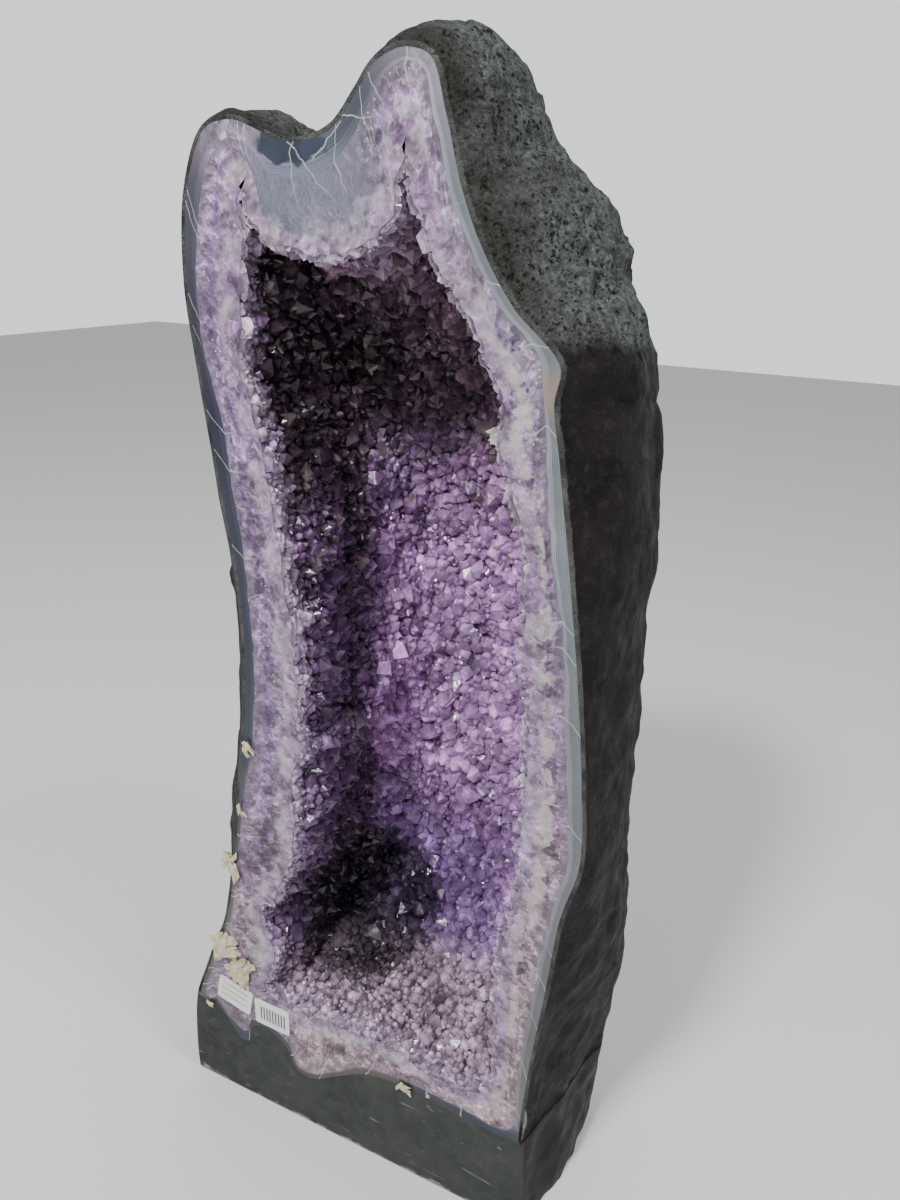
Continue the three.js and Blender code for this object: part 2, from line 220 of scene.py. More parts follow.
def ring_mesh(name, rows, first_pole, last_pole, v_rows, run_outline):
    """Closed skin through rows of stations, closed by a fan at each pole.

    Its UV map holds the run along the outline in metres and the given value for each row.
    """
    rows = np.asarray(rows, float)
    count, around = rows.shape[:2]
    points = np.vstack([rows.reshape(-1, 3), first_pole, last_pole])
    r, i = np.meshgrid(np.arange(count - 1), np.arange(around), indexing="ij")
    j = (i + 1) % around
    quads = np.stack([(r + 1) * around + i, (r + 1) * around + j, r * around + j, r * around + i], -1)
    k = np.arange(around)
    n = (k + 1) % around
    first = np.stack([k, n, np.full(around, count * around)], -1)
    last = np.stack([(count - 1) * around + n, (count - 1) * around + k,
                     np.full(around, count * around + 1)], -1)
    loops = np.concatenate([quads.reshape(-1), first.reshape(-1), last.reshape(-1)])
    sizes = np.concatenate([np.full(quads.size // 4, 4), np.full(2 * around, 3)])
    mesh = new_mesh(name, points, loops, sizes)
    run = np.concatenate([[0], np.cumsum(np.linalg.norm(
        np.roll(run_outline, -1, 0) - run_outline, axis=1))]) * MM
    u_quad = np.stack([run[i], run[i + 1], run[i + 1], run[i]], -1)
    v_quad = np.stack([v_rows[r + 1], v_rows[r + 1], v_rows[r], v_rows[r]], -1)
    u_first = np.stack([run[k], run[k + 1], run[k]], -1)
    u_last = np.stack([run[k + 1], run[k], run[k]], -1)
    u = np.concatenate([u_quad.ravel(), u_first.ravel(), u_last.ravel()])
    v = np.concatenate([v_quad.ravel(), np.full(3 * around, v_rows[0]), np.full(3 * around, v_rows[-1])])
    uv = mesh.uv_layers.new(name="run")
    uv.data.foreach_set("uv", np.stack([u, v], -1).astype(np.float32).ravel())
    mesh.validate()
    return mesh


def wall_normals(wall):
    """Unit normals of a wall, (across x deeper) / its length, which point away from the hollow."""
    across = np.roll(wall, -1, 1) - np.roll(wall, 1, 1)
    normal = np.cross(across, np.gradient(wall, axis=0))
    return normal / (np.linalg.norm(normal, axis=-1, keepdims=True) + 1e-9)


def add_object(name, mesh, material, smooth=True):
    """Object at the origin with one material on all its faces."""
    mesh.materials.append(material)
    mesh.polygons.foreach_set("use_smooth", np.full(len(mesh.polygons), smooth))
    thing = bpy.data.objects.new(name, mesh)
    bpy.context.scene.collection.objects.link(thing)
    return thing


class Wire:
    """A value in a material. Arithmetic on it adds Math nodes, and x, y and z are its parts."""

    def __init__(self, shader, socket):
        self.shader = shader
        self.socket = socket

    def __add__(self, other):
        return self.shader.math("ADD", self, other)

    def __sub__(self, other):
        return self.shader.math("SUBTRACT", self, other)

    def __rsub__(self, other):
        return self.shader.math("SUBTRACT", other, self)

    def __mul__(self, other):
        return self.shader.math("MULTIPLY", self, other)

    @property
    def x(self):
        return self.shader.add("SeparateXYZ", "X", {0: self})

    @property
    def y(self):
        return self.shader.add("SeparateXYZ", "Y", {0: self})

    @property
    def z(self):
        return self.shader.add("SeparateXYZ", "Z", {0: self})

    def ramp(self, *stops):
        """Colour or grey along the value; stops are (position, colour or grey)."""
        wire = self.shader.add("ValToRGB", "Color", {"Fac": self})
        elements = wire.socket.node.color_ramp.elements
        while len(elements) < len(stops):
            elements.new(0.5)
        for element, (position, colour) in zip(elements, stops):
            element.position = position
            element.color = (*colour, 1) if isinstance(colour, tuple) else (colour,) * 3 + (1,)
        return wire


class Shader:
    """A Principled material built up node by node."""

    def __init__(self, name):
        self.material = bpy.data.materials.new(name)
        self.material.use_nodes = True
        self.tree = self.material.node_tree
        self.surface = self.tree.nodes["Principled BSDF"]
        self.object_place = self.add("TexCoord", "Object", {})
        self.sheet_place = Wire(self, self.object_place.socket.node.outputs["UV"])

    def add(self, kind, output, inputs, **settings):
        """New node with its settings, and its inputs linked or set by name or number."""
        node = self.tree.nodes.new("ShaderNode" + kind)
        for key, value in settings.items():
            setattr(node, key, value)
        for key, value in inputs.items():
            self.link(value, node.inputs[key])
        return Wire(self, node.outputs[output])

    def link(self, value, socket):
        if isinstance(value, Wire):
            self.tree.links.new(value.socket, socket)
        elif socket.type == "RGBA" and len(value) == 3:
            socket.default_value = (*value, 1)
        else:
            socket.default_value = value

    def set(self, **values):
        """Inputs of the surface, with _ for each space in a name."""
        for key, value in values.items():
            self.link(value, self.surface.inputs[key.replace("_", " ")])

    def scaled(self, vector, scale):
        return self.add("Mapping", "Vector", {"Vector": vector, "Scale": scale})

    def noise(self, scale, detail=4, rough=0.55, vector=None, distortion=0.0):
        return self.add("TexNoise", "Fac", {
            "Vector": vector or self.object_place, "Scale": scale, "Detail": detail, "Roughness": rough,
            "Distortion": distortion})

    def cells(self, scale, output="Distance", vector=None):
        return self.add("TexVoronoi", output, {"Vector": vector or self.object_place, "Scale": scale})

    def mix(self, factor, one, other, blend="MIX"):
        return self.add("Mix", 2, {"Factor": factor, 6: one, 7: other}, data_type="RGBA", blend_type=blend)

    def tinted(self, one, other):
        """Product of two colours."""
        return self.mix(1.0, one, other, "MULTIPLY")

    def math(self, operation, one, other=0.0):
        return self.add("Math", 0, {0: one, 1: other}, operation=operation)

    def within(self, value, reach):
        """1 where the value lies within reach of 0."""
        return self.math("LESS_THAN", self.math("ABSOLUTE", value), reach)

    def attribute(self, name, output="Color"):
        return self.add("Attribute", output, {}, attribute_name=name)

    def bump(self, height, strength, distance, below=None):
        inputs = {"Height": height, "Strength": strength, "Distance": distance}
        if below:
            inputs["Normal"] = below
        return self.add("Bump", "Normal", inputs)


ROCK_RINGS = 112
SEAM_Z = 105
# Rows of the outline where its stretches start, and the number of stations on each stretch.
ROCK_MARKS = (0, 13, 16, 20, 26, 37, 42)
ROCK_STATIONS = (215, 28, 40, 82, 215, 80, 80)
body = stations(RIM + FOOT_SIDES, ROCK_MARKS, ROCK_STATIONS)
body_flat = body[:, :2]
body_normal = outward(body_flat)
body_swell = np.clip(body[:, 2], 0, None)


def rock_relief(points, depth_share):
    """Height of the rock's surface in mm: broad lumps, then pits on bare basalt or runs in the coat."""
    z = points[..., 2]
    bare = smoothstep(735, 775, z + 18 * lattice_noise(points, 60, 5))
    lumps = 2.6 * layered_noise(points, 90, 1, 3)
    grain = 2.4 * layered_noise(points, 13, 11, 3)
    pits = -2.6 * smoothstep(0.35, 0.55, lattice_noise(points, 8, 23))
    pits -= 3.0 * smoothstep(0.45, 0.7, lattice_noise(points, 21, 29))
    coat = 2.5 * layered_noise(points * np.array([1, 1, 0.8]), 26, 41, 4)
    knobs = 2.2 * smoothstep(0.1, 0.9, lattice_noise(points, 24, 47))
    edge = smoothstep(0.0, 0.06, depth_share)
    return edge * (lumps + bare * (grain + pits) + (1 - bare) * (coat + knobs))


HIDDEN_BELOW = 60
LOWEST = 14


def squashed(z):
    """Heights under h = HIDDEN_BELOW drawn up towards l = LOWEST: l + (h - l) exp((z - h) / (h - l))."""
    room = HIDDEN_BELOW - LOWEST
    under = np.exp((np.minimum(z, HIDDEN_BELOW) - HIDDEN_BELOW) / room)
    return np.where(z < HIDDEN_BELOW, LOWEST + room * under, z)


def next_swell(swell):
    """Swell of the form under the rock skin, which is thicker where the stone bulges."""
    return swell * 0.6 - 7


# The rock's edge on the face, and below the seam the steps that take its wall inside the foot.
EDGE = 2.2
STEP_IN = 4
STEP_BACK = 10
TUCK = 7
CORE_RINGS = 10
rock_t = depth_shares(ROCK_RINGS)[:, None]
rock_wall = lens(body_flat, body_swell, BODY, depth_shares(ROCK_RINGS))
rock_normal = wall_normals(rock_wall)
rock_normal[0, :, 1] = 0
rock_wall = rock_wall + rock_normal * rock_relief(rock_wall, rock_t)[..., None]
sunk = smoothstep(SEAM_Z - 3, SEAM_Z - 9, rock_wall[..., 2])
rock_wall = rock_wall - rock_normal * (STEP_IN * sunk)[..., None]
rock_wall[..., 1] += STEP_BACK * sunk * (rock_t < 0.2)
rock_inner = lens(body_flat - body_normal * EDGE, next_swell(body_swell), CORE, depth_shares(CORE_RINGS))
rock_inner[..., 1] += 12 * smoothstep(SEAM_Z + 1, SEAM_Z - 8, rock_inner[..., 2])
tucked_rim = np.insert(body_flat - TUCK * body_normal, 1, 0.8, axis=1)
rock_rows = np.concatenate([rock_wall[::-1], rock_inner[:1], tucked_rim[None], rock_inner[1:]])
rock_rows[..., 2] = squashed(rock_rows[..., 2])
rock_mesh = ring_mesh("rock_skin", rock_rows, pole(BODY), pole(CORE),
                      np.concatenate([np.ones(ROCK_RINGS), np.zeros(CORE_RINGS + 1)]), body_flat)

stone = Shader("basalt_and_coat")
height = stone.object_place.z
ragged = stone.noise(14, 5) * 0.09
above = (height + ragged - 0.78) * 20.0
bare = above.ramp((0.3, 0.0), (0.5, 1.0))
basalt = stone.noise(260, 5, 0.8).ramp((0.36, (0.06, 0.067, 0.066)), (0.5, (0.125, 0.135, 0.132)),
                                       (0.66, (0.24, 0.25, 0.24)))
basalt = stone.mix(stone.noise(11, 4).ramp((0.45, 0.0), (0.65, 0.55)), basalt, (0.06, 0.062, 0.054))
near_face = stone.object_place.y
stain = stone.noise(17, 5) * 0.11
stain = near_face - FACE_Y + stain
stain = stain.ramp((0.055, 1.0), (0.085, 0.0))
basalt = stone.mix(stain * 0.7, basalt, (0.028, 0.023, 0.018))
# Pits and pinholes of the basalt, painted near black as painted shade in them; the bump below also sinks
# them.
shaken = stone.mix(0.004, stone.object_place, stone.noise(150, 3))
pocket = stone.cells(240, vector=shaken).ramp((0.2, 1.0), (0.36, 0.0))
pocket = pocket * stone.noise(30, 4).ramp((0.44, 0.0), (0.54, 0.9))
pinholes = stone.noise(190, 5, 0.75).ramp((0.36, 1.0), (0.43, 0.0))
pocket = stone.math("MAXIMUM", pocket, pinholes)
basalt = stone.mix(pocket * 0.92, basalt, (0.009, 0.009, 0.008))
coat = stone.noise(30, 5, 0.6).ramp((0.35, (0.009, 0.007, 0.0075)), (0.65, (0.026, 0.02, 0.021)))
coat = stone.mix(stone.noise(130, 4, 0.7).ramp((0.52, 0.0), (0.74, 0.75)), coat, (0.06, 0.05, 0.049))
stone_tone = stone.mix(bare, coat, basalt)
arris = near_face + stone.noise(120, 4, 0.7) * 0.003
arris = (arris - FACE_Y) * 100.0
sawn = arris.ramp((0.18, 0.9), (0.23, 0.0))
sawn = sawn * height.ramp((0.12, 0.0), (0.135, 1.0))
sawn_grey = stone.noise(60, 4).ramp((0.35, (0.05, 0.052, 0.055)), (0.7, (0.19, 0.19, 0.18)))
stone_tone = stone.mix(sawn, stone_tone, sawn_grey)
stone.set(Base_Color=stone_tone, Specular_IOR_Level=0.12)
coat_gloss = stone.noise(60, 4).ramp((0.35, 0.4), (0.65, 0.65))
stone.set(Roughness=stone.mix(bare, coat_gloss, (0.9, 0.9, 0.9)))
fine = stone.bump(stone.noise(240, 6, 0.75), 0.8, 0.002)
coarse = stone.bump(stone.noise(70, 6, 0.75), 1.0, 0.014, fine)
pocks = stone.bump(1.0 - pocket * bare, 0.9, 0.003, coarse)
stone.set(Normal=pocks)
rock = add_object("rock_skin", rock_mesh, stone.material)
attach(rock, "root")
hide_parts("rock_shell")

# ----------------------------------------
# Cement foot: dark cement cast round the lower end of the stone, sawn flush with the face and
# flat underneath. Its upper edge follows the stone across the face; its sides carry the coat.
# ----------------------------------------
CEMENT_EDGE = [
    (165, 103), (110, 104), (60, 107), (20, 100), (-12, 80), (-40, 62), (-57, 65), (-66, 85),
    (-80, 97), (-95, 101), (-107, 95), (-114, 73), (-122, 71), (-135, 85), (-150, 104),
    (-166, 103),
]
# Row numbers of the left foot corner, left peak, saddle, right peak, shoulder, right foot corner
# and agate tongue in an outline, so that a station means the same place in every ring.
CORE_MARKS = (0, 13, 16, 20, 26, 37, 49)
SEGMENT_STATIONS = (210, 40, 50, 80, 190, 120, 30)
core_rows = [(x, z, swell) for x, z, swell in RIM] + [(x, z, 0) for x, z in CEMENT_EDGE]
core = stations(core_rows, CORE_MARKS, SEGMENT_STATIONS)
core_normal = outward(core)
on_rim = smoothstep(100, 112, core[:, 1])
core[:, :2] -= core_normal * EDGE * on_rim[:, None]
core_swell = np.where(core[:, 1] > 108, next_swell(core[:, 2]), 0)
FOOT_LEVELS = 30
FRONT_POINTS = 260
BACK_POINTS = 200
FOOT_MIDDLE = (0, 110)
FOOT_FRONT = 0.18
PAST_LEFT_SIDE, PAST_LEFT_CORNER = 420, 4
number = np.arange(len(core))
edge_curve = core[(core[:, 1] < 112) & ((number > PAST_LEFT_SIDE) | (number < PAST_LEFT_CORNER))]
edge_curve = edge_curve[np.argsort(edge_curve[:, 0])]


def foot_section(z):
    """Plan of the foot at height z, from the right front corner round the back to the left one.

    Each ring of the stone's wall is cut at height z, once on its right side and once on its left.
    """
    walls = lens(body_flat, body_swell, BODY, np.linspace(0, 0.985, 90))
    right, left = [], []
    top = int(np.argmax(body_flat[:, 1]))
    low = int(np.argmin(np.abs(body_flat[:, 0]) + np.where(body_flat[:, 1] > -100, 999, 0)))
    for ring in walls:
        falling = ring[top:low + 1]
        rising = np.concatenate([ring[low:], ring[:40]])
        if ring[low, 2] < z - 0.5:
            right.append((np.interp(-z, -falling[:, 2], falling[:, 0]), ring[0, 1]))
            left.append((np.interp(z, rising[:, 2], rising[:, 0]), ring[0, 1]))
    loop = np.array(right + left[::-1])
    run = run_along(loop)
    where = np.linspace(0, run[-1], BACK_POINTS)
    return np.stack([np.interp(where, run, loop[:, 0]), np.interp(where, run, loop[:, 1])], 1)


foot_rows = []
for level in np.linspace(0, 1, FOOT_LEVELS):
    z = level * SEAM_Z
    back = foot_section(z)
    share = np.linspace(0, 1, FRONT_POINTS + 2)[1:-1]
    front_x = back[-1, 0] + (back[0, 0] - back[-1, 0]) * share
    front_z = level * np.interp(front_x, edge_curve[:, 0], edge_curve[:, 1])
    front = np.stack([front_x, np.full(FRONT_POINTS, FOOT_FRONT), front_z], 1)
    rear = np.stack([back[:, 0], back[:, 1], np.full(BACK_POINTS, z)], 1)
    row = np.vstack([front, rear])
    bulge = rock_relief(row, row[:, 1] / BODY[2])
    away = unit(row[:, :2] - FOOT_MIDDLE)
    row[:, :2] += away * (bulge + 0.5 * (row[:, 1] > 1))[:, None]
    foot_rows.append(row)
foot_rows = np.array(foot_rows)
foot_rows[0, :, 1] += np.where(foot_rows[0, :, 1] < 1, 1.2, 0)
tucked = foot_rows[-1].copy()
tucked[:FRONT_POINTS] += np.array([0, 0.7, 5.0])
foot_rows = np.concatenate([foot_rows, tucked[None]])
inner_top = foot_rows[-1] * np.array([0.9, 0.9, 1.0]) + np.array([0, 12, -14])
stack = np.concatenate([foot_rows, inner_top[None]])[::-1]
foot_mesh = ring_mesh("cement_foot_cast", stack, (*FOOT_MIDDLE, 40), (*FOOT_MIDDLE, 0),
                      np.linspace(1, 0, len(stack)), stack[0][:, :2])

cement = Shader("dark_cement")
speckle = cement.noise(120, 6, 0.65)
clouds = cement.noise(7, 4, 0.6, distortion=0.6).ramp(
    (0.35, (0.016, 0.02, 0.018)), (0.55, (0.027, 0.032, 0.029)), (0.75, (0.047, 0.051, 0.046)))
paint = cement.mix(speckle.ramp((0.3, 0.0), (0.75, 0.4)), clouds, (0.1, 0.105, 0.099))
scratch = cement.noise(34, 2, 0.5, cement.scaled(cement.object_place, (1.0, 1.0, 7.0)), 1.2)
paint = cement.mix(scratch.ramp((0.66, 0.0), (0.74, 0.55)), paint, (0.24, 0.24, 0.23))
depth = cement.object_place.y - FACE_Y
side = (depth * 50.0).ramp((0.1, 0.0), (0.2, 1.0))
foot_z = cement.object_place.z
worn = cement.noise(45, 5, 0.7) - foot_z * 28.0
paint = cement.mix(worn.ramp((0.38, 0.0), (0.5, 0.8)), paint, (0.33, 0.32, 0.3))
dark = cement.noise(30, 5, 0.6).ramp((0.35, (0.009, 0.007, 0.0075)), (0.65, (0.026, 0.02, 0.021)))
cement.set(Base_Color=cement.mix(side, paint, dark))
cement.set(Specular_IOR_Level=0.15, Roughness=cement.noise(60, 4).ramp((0.3, 0.45), (0.7, 0.7)))
cement.set(Normal=cement.bump(cement.noise(220, 6, 0.7), 0.35, 0.0008))
foot = add_object("cement_foot_cast", foot_mesh, cement.material)
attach(foot, "root")
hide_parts("cement_foot")

# ----------------------------------------
# Agate band: blue-grey chalcedony laid down in fine even layers against the rock, sawn and
# polished flush with the face.
# ----------------------------------------
QUARTZ_EDGE = [
    (-164, 108), (-152, 150), (-139, 190), (-124, 225), (-115, 275), (-103, 350), (-92, 400),
    (-83, 460), (-81, 520), (-84, 585), (-91, 645), (-99, 700), (-111, 750), (-111, 800),
    (-104, 838), (-92, 866), (-75, 876), (-58, 868), (-46, 856), (-20, 852), (4, 862), (22, 882),
    (36, 902), (52, 914), (66, 908), (73, 885), (83, 850), (97, 818), (118, 785), (146, 756),
    (152, 728), (156, 690), (163, 640), (175, 580), (183, 510), (191, 440), (193, 405),
    (184, 350), (177, 280), (168, 180), (164, 114), (110, 114), (60, 116), (18, 108), (-12, 86),
    (-40, 68), (-54, 70), (-64, 92), (-80, 104), (-95, 107), (-110, 101), (-117, 84),
    (-133, 91), (-148, 109),
]
DRUSE_EDGE = [
    (-104, 144), (-92, 178), (-92, 212), (-101, 242), (-88, 268), (-73, 295), (-61, 338),
    (-60, 372), (-56, 408), (-49, 455), (-52, 500), (-57, 550), (-62, 600), (-66, 635),
    (-71, 672), (-81, 705), (-88, 745), (-85, 785), (-81, 822), (-75, 858), (-61, 858),
    (-50, 828), (-30, 820), (-8, 818), (18, 822), (32, 837), (40, 858), (49, 882), (61, 882),
    (71, 850), (80, 826), (91, 808), (104, 789), (117, 766), (129, 745), (132, 722), (141, 682),
    (151, 647), (160, 602), (161, 565), (166, 520), (169, 460), (169, 420), (163, 345),
    (156, 280), (158, 210), (155, 160), (138, 129), (100, 127), (65, 132), (30, 140),
    (-20, 133), (-68, 128), (-99, 140),
]
QUARTZ_MARKS = (0, 16, 19, 23, 29, 40, 51)
DRUSE_MARKS = (0, 20, 23, 28, 34, 47, 53)
INNER = (32, 450, 226, 2.7)
HIDDEN_RINGS = 7
quartz = stations(QUARTZ_EDGE, QUARTZ_MARKS, SEGMENT_STATIONS)
ripple = 1.3 * layered_noise(np.insert(quartz[:, :2], 1, 0.0, axis=1), 16, 31, 3)
quartz[:, :2] += outward(quartz) * ripple[:, None]
druse = stations(DRUSE_EDGE, DRUSE_MARKS, SEGMENT_STATIONS)
no_swell = np.zeros(len(core))


def face_rows(outer, inner, steps, y=0.0):
    """Rows of stations across the flat face from one outline to the next."""
    share = np.linspace(0, 1, steps)[:, None, None]
    flat = outer[None, :, :2] * (1 - share) + inner[None, :, :2] * share
    return np.stack([flat[..., 0], np.full(flat.shape[:2], y), flat[..., 1]], -1)


def layer_shell(name, outer, outer_swell, outer_form, inner, inner_form, steps, behind):
    """Closed shell between two nested forms: outer wall, flat face, inner wall.

    Behind the face the outer wall draws in by 4 mm, so that it stays under its neighbour.
    """
    outer_wall = lens(outer[:, :2], outer_swell, outer_form, depth_shares(HIDDEN_RINGS))
    inner_wall = lens(inner[:, :2], no_swell, inner_form, depth_shares(HIDDEN_RINGS))
    tucked_in = 4 * smoothstep(0.5, 9, outer_wall[..., 1])
    outer_wall[..., ::2] -= outward(outer)[None] * tucked_in[..., None]
    face = face_rows(outer, inner, steps, behind)
    rows = np.concatenate([outer_wall[:0:-1], face, inner_wall[1:]])
    v = np.concatenate([np.zeros(HIDDEN_RINGS - 1), np.linspace(0, 1, steps), np.ones(HIDDEN_RINGS - 1)])
    return ring_mesh(name, rows, pole(outer_form), pole(inner_form), v, druse[:, :2])


def paint_zones(mesh, name, anchors, reach=45.0):
    """Colour attribute blended from (x, z, colour) anchors, each weighted exp(-(distance / reach)^2)."""
    co = np.zeros(len(mesh.vertices) * 3, np.float32)
    mesh.vertices.foreach_get("co", co)
    drawn = (co.reshape(-1, 3) - place([0, 0, 0])) / MM
    total = np.zeros((len(drawn), 3))
    weights = np.full(len(drawn), 1e-12)
    for x, z, colour in anchors:
        weight = np.exp(-((drawn[:, 0] - x) ** 2 + (drawn[:, 2] - z) ** 2) / reach ** 2) + 1e-12
        total += weight[:, None] * np.array(colour)
        weights += weight
    rgba = np.ones((len(drawn), 4))
    rgba[:, :3] = total / weights[:, None]
    colour_points(mesh, name, rgba)


AGATE_TONES = [
    (-155, 110, (0.09, 0.08, 0.09)), (-135, 190, (0.12, 0.1, 0.1)), (-122, 260, (0.11, 0.095, 0.1)),
    (-108, 350, (0.06, 0.06, 0.08)), (-92, 440, (0.032, 0.037, 0.06)), (-90, 560, (0.03, 0.034, 0.058)),
    (-100, 660, (0.032, 0.034, 0.058)), (-118, 760, (0.042, 0.04, 0.064)), (-114, 850, (0.05, 0.05, 0.075)),
    (-92, 878, (0.16, 0.13, 0.18)), (-74, 884, (0.34, 0.27, 0.37)), (-56, 876, (0.16, 0.15, 0.2)),
    (-30, 864, (0.13, 0.15, 0.2)), (-8, 864, (0.11, 0.13, 0.165)), (15, 884, (0.06, 0.07, 0.095)),
    (34, 908, (0.055, 0.064, 0.095)), (48, 920, (0.2, 0.18, 0.23)), (64, 916, (0.36, 0.32, 0.38)),
    (80, 892, (0.24, 0.25, 0.29)), (90, 850, (0.2, 0.22, 0.25)), (108, 808, (0.2, 0.22, 0.245)),
    (145, 762, (0.21, 0.23, 0.245)), (158, 700, (0.2, 0.22, 0.24)), (178, 590, (0.19, 0.21, 0.235)),
    (198, 450, (0.17, 0.19, 0.21)), (195, 380, (0.16, 0.17, 0.19)), (182, 260, (0.14, 0.15, 0.16)),
    (173, 150, (0.15, 0.155, 0.155)), (140, 107, (0.025, 0.034, 0.062)), (90, 109, (0.035, 0.038, 0.055)),
    (40, 108, (0.09, 0.07, 0.065)), (-15, 82, (0.09, 0.07, 0.065)), (-50, 67, (0.06, 0.05, 0.06)),
    (-90, 102, (0.035, 0.038, 0.06)), (-117, 76, (0.016, 0.024, 0.05)),
]
SADDLE_STREAKS = [(-36, 880, 4, 838), (2, 887, 31, 885), (25, 915, 37, 893), (-12, 863, 10, 883)]


def streak(shader, x0, z0, x1, z1, width=0.00022):
    """1 on the hairline between two places on the face in drawn mm, 0 elsewhere."""
    obj = shader.object_place
    start, end = place([x0, 0, z0]), place([x1, 0, z1])
    length = float(np.linalg.norm(end - start))
    ux, _, uz = ((end - start) / length).tolist()
    px = obj.x - float(start[0])
    pz = obj.z - float(start[2])
    along = px * ux + pz * uz
    across = px * uz - pz * ux
    bend = (shader.noise(70, 4, 0.6) - 0.5) * 0.008
    off = shader.math("ABSOLUTE", across + bend) * (0.1 / width)
    line = off.ramp((0.1, 0.9), (0.22, 0.0))
    return line * shader.within(along - length / 2, length / 2)


def fracture(shader, run_u):
    """White hairlines: single ones across the bands a few centimetres apart, longer ones at the saddle."""
    shifted = run_u + shader.noise(55, 2) * 0.012
    apart = shader.add("TexVoronoi", "Distance", {"W": shifted, "Scale": 26.0}, voronoi_dimensions="1D")
    line = (apart * 10.0).ramp((0.06, 0.9), (0.16, 0.0))
    line = line * shader.noise(11, 1).ramp((0.47, 0.0), (0.5, 1.0))
    for ends in SADDLE_STREAKS:
        line = shader.math("MAXIMUM", line, streak(shader, *ends))
    return line


agate_mesh = layer_shell("agate_layers", core, core_swell, CORE, quartz, INNER, 8, 0.12)
paint_zones(agate_mesh, "tone", AGATE_TONES, 20.0)
agate = Shader("agate")
run = agate.sheet_place
obj = agate.object_place
painted = agate.attribute("tone")
layer = run.y + agate.noise(18, 4) * 0.5
lines = agate.add("TexNoise", "Fac", {"W": layer, "Scale": 16.0}, noise_dimensions="1D")
stripe = lines.ramp((0.3, 0.5), (0.5, 0.68), (0.7, 0.92))
tone = agate.tinted(painted, stripe)
milk = agate.noise(26, 5, 0.6).ramp((0.4, 0.0), (0.75, 0.6))
milky = agate.tinted(tone, (1.6, 1.55, 1.5))
tone = agate.mix(milk, tone, milky)
lilac = painted.x - painted.y
lilac = lilac.ramp((0.015, 0.0), (0.04, 1.0))
lumps = agate.cells(190, "Color").x.ramp((0.1, 0.55), (0.9, 1.35))
lumps = agate.tinted(lumps, agate.noise(160, 4, 0.7).ramp((0.35, 0.7), (0.65, 1.3)))
tone = agate.mix(lilac, tone, agate.tinted(painted, lumps))
inner_glow = layer.ramp((0.9, 0.0), (1.4, 0.6))
tone = agate.mix(inner_glow, tone, agate.tinted(tone, (1.9, 1.8, 1.95)))
peach = agate.math("ABSOLUTE", obj.z - 0.735)
peach = peach + agate.noise(40, 3) * 0.03
peach = peach.ramp((0.018, 0.75), (0.034, 0.0))
peach = peach * obj.x.ramp((0.09, 0.0), (0.12, 1.0))
tone = agate.mix(peach, tone, (0.3, 0.21, 0.16))
crack = fracture(agate, run.x)
patch_x = (obj.x - (FACE_X - 0.03)) * 0.42
patch_z = obj.z - 0.872
patch = agate.math("SQRT", patch_x * patch_x + patch_z * patch_z)
patch = patch + agate.cells(110, "Distance") * 0.006
navy = agate.noise(60, 3).ramp((0.35, (0.006, 0.013, 0.032)), (0.7, (0.022, 0.036, 0.064)))
tone = agate.mix((patch * 30.0).ramp((0.42, 0.95), (0.46, 0.0)), tone, navy)
tone = agate.mix(crack, tone, (0.42, 0.42, 0.41))
# Walls behind the face are painted near black, as painted shade where they show through gaps.
hidden = (obj.y - FACE_Y) * 100.0
tone = agate.mix(hidden.ramp((0.05, 0.0), (0.12, 1.0)), tone, (0.012, 0.011, 0.012))
agate.set(Base_Color=tone, Roughness=0.22, Specular_IOR_Level=0.4)
agate.set(Normal=agate.bump(agate.noise(220, 3), 0.08, 0.0004))
agate_band = add_object("agate_layers", agate_mesh, agate.material, smooth=False)
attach(agate_band, "root")
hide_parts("agate_band")

# ----------------------------------------
# Quartz band: columns of quartz grown side by side from the agate towards the hollow, lilac and
# white, sawn across and polished flush with the face.
# ----------------------------------------
LINING = (36, 455, 187, 2.6)
QUARTZ_TONES = [
    (-86, 855, (0.27, 0.21, 0.3)), (-100, 790, (0.25, 0.19, 0.29)), (-98, 700, (0.24, 0.19, 0.28)),
    (-78, 600, (0.19, 0.15, 0.22)), (-72, 500, (0.19, 0.15, 0.22)), (-76, 400, (0.21, 0.16, 0.24)),
    (-98, 300, (0.17, 0.12, 0.18)), (-112, 215, (0.24, 0.19, 0.21)), (-122, 150, (0.22, 0.16, 0.22)),
    (-70, 112, (0.24, 0.18, 0.23)), (-30, 100, (0.3, 0.24, 0.22)), (40, 125, (0.27, 0.21, 0.22)),
    (120, 122, (0.3, 0.23, 0.24)), (162, 180, (0.28, 0.22, 0.23)), (168, 280, (0.29, 0.23, 0.25)),
    (174, 380, (0.26, 0.2, 0.24)), (178, 480, (0.22, 0.17, 0.24)), (166, 600, (0.2, 0.16, 0.23)),
    (146, 690, (0.24, 0.2, 0.27)), (130, 760, (0.26, 0.23, 0.3)), (90, 815, (0.27, 0.24, 0.31)),
    (62, 890, (0.32, 0.28, 0.34)), (36, 872, (0.21, 0.17, 0.24)), (12, 850, (0.13, 0.14, 0.185)),
    (-20, 842, (0.12, 0.14, 0.19)), (-44, 848, (0.13, 0.145, 0.19)), (-5, 828, (0.2, 0.17, 0.23)),
]
quartz_mesh = layer_shell("quartz_columns", quartz, no_swell, INNER, druse, LINING, 14, 0.06)
paint_zones(quartz_mesh, "tone", QUARTZ_TONES, 28.0)


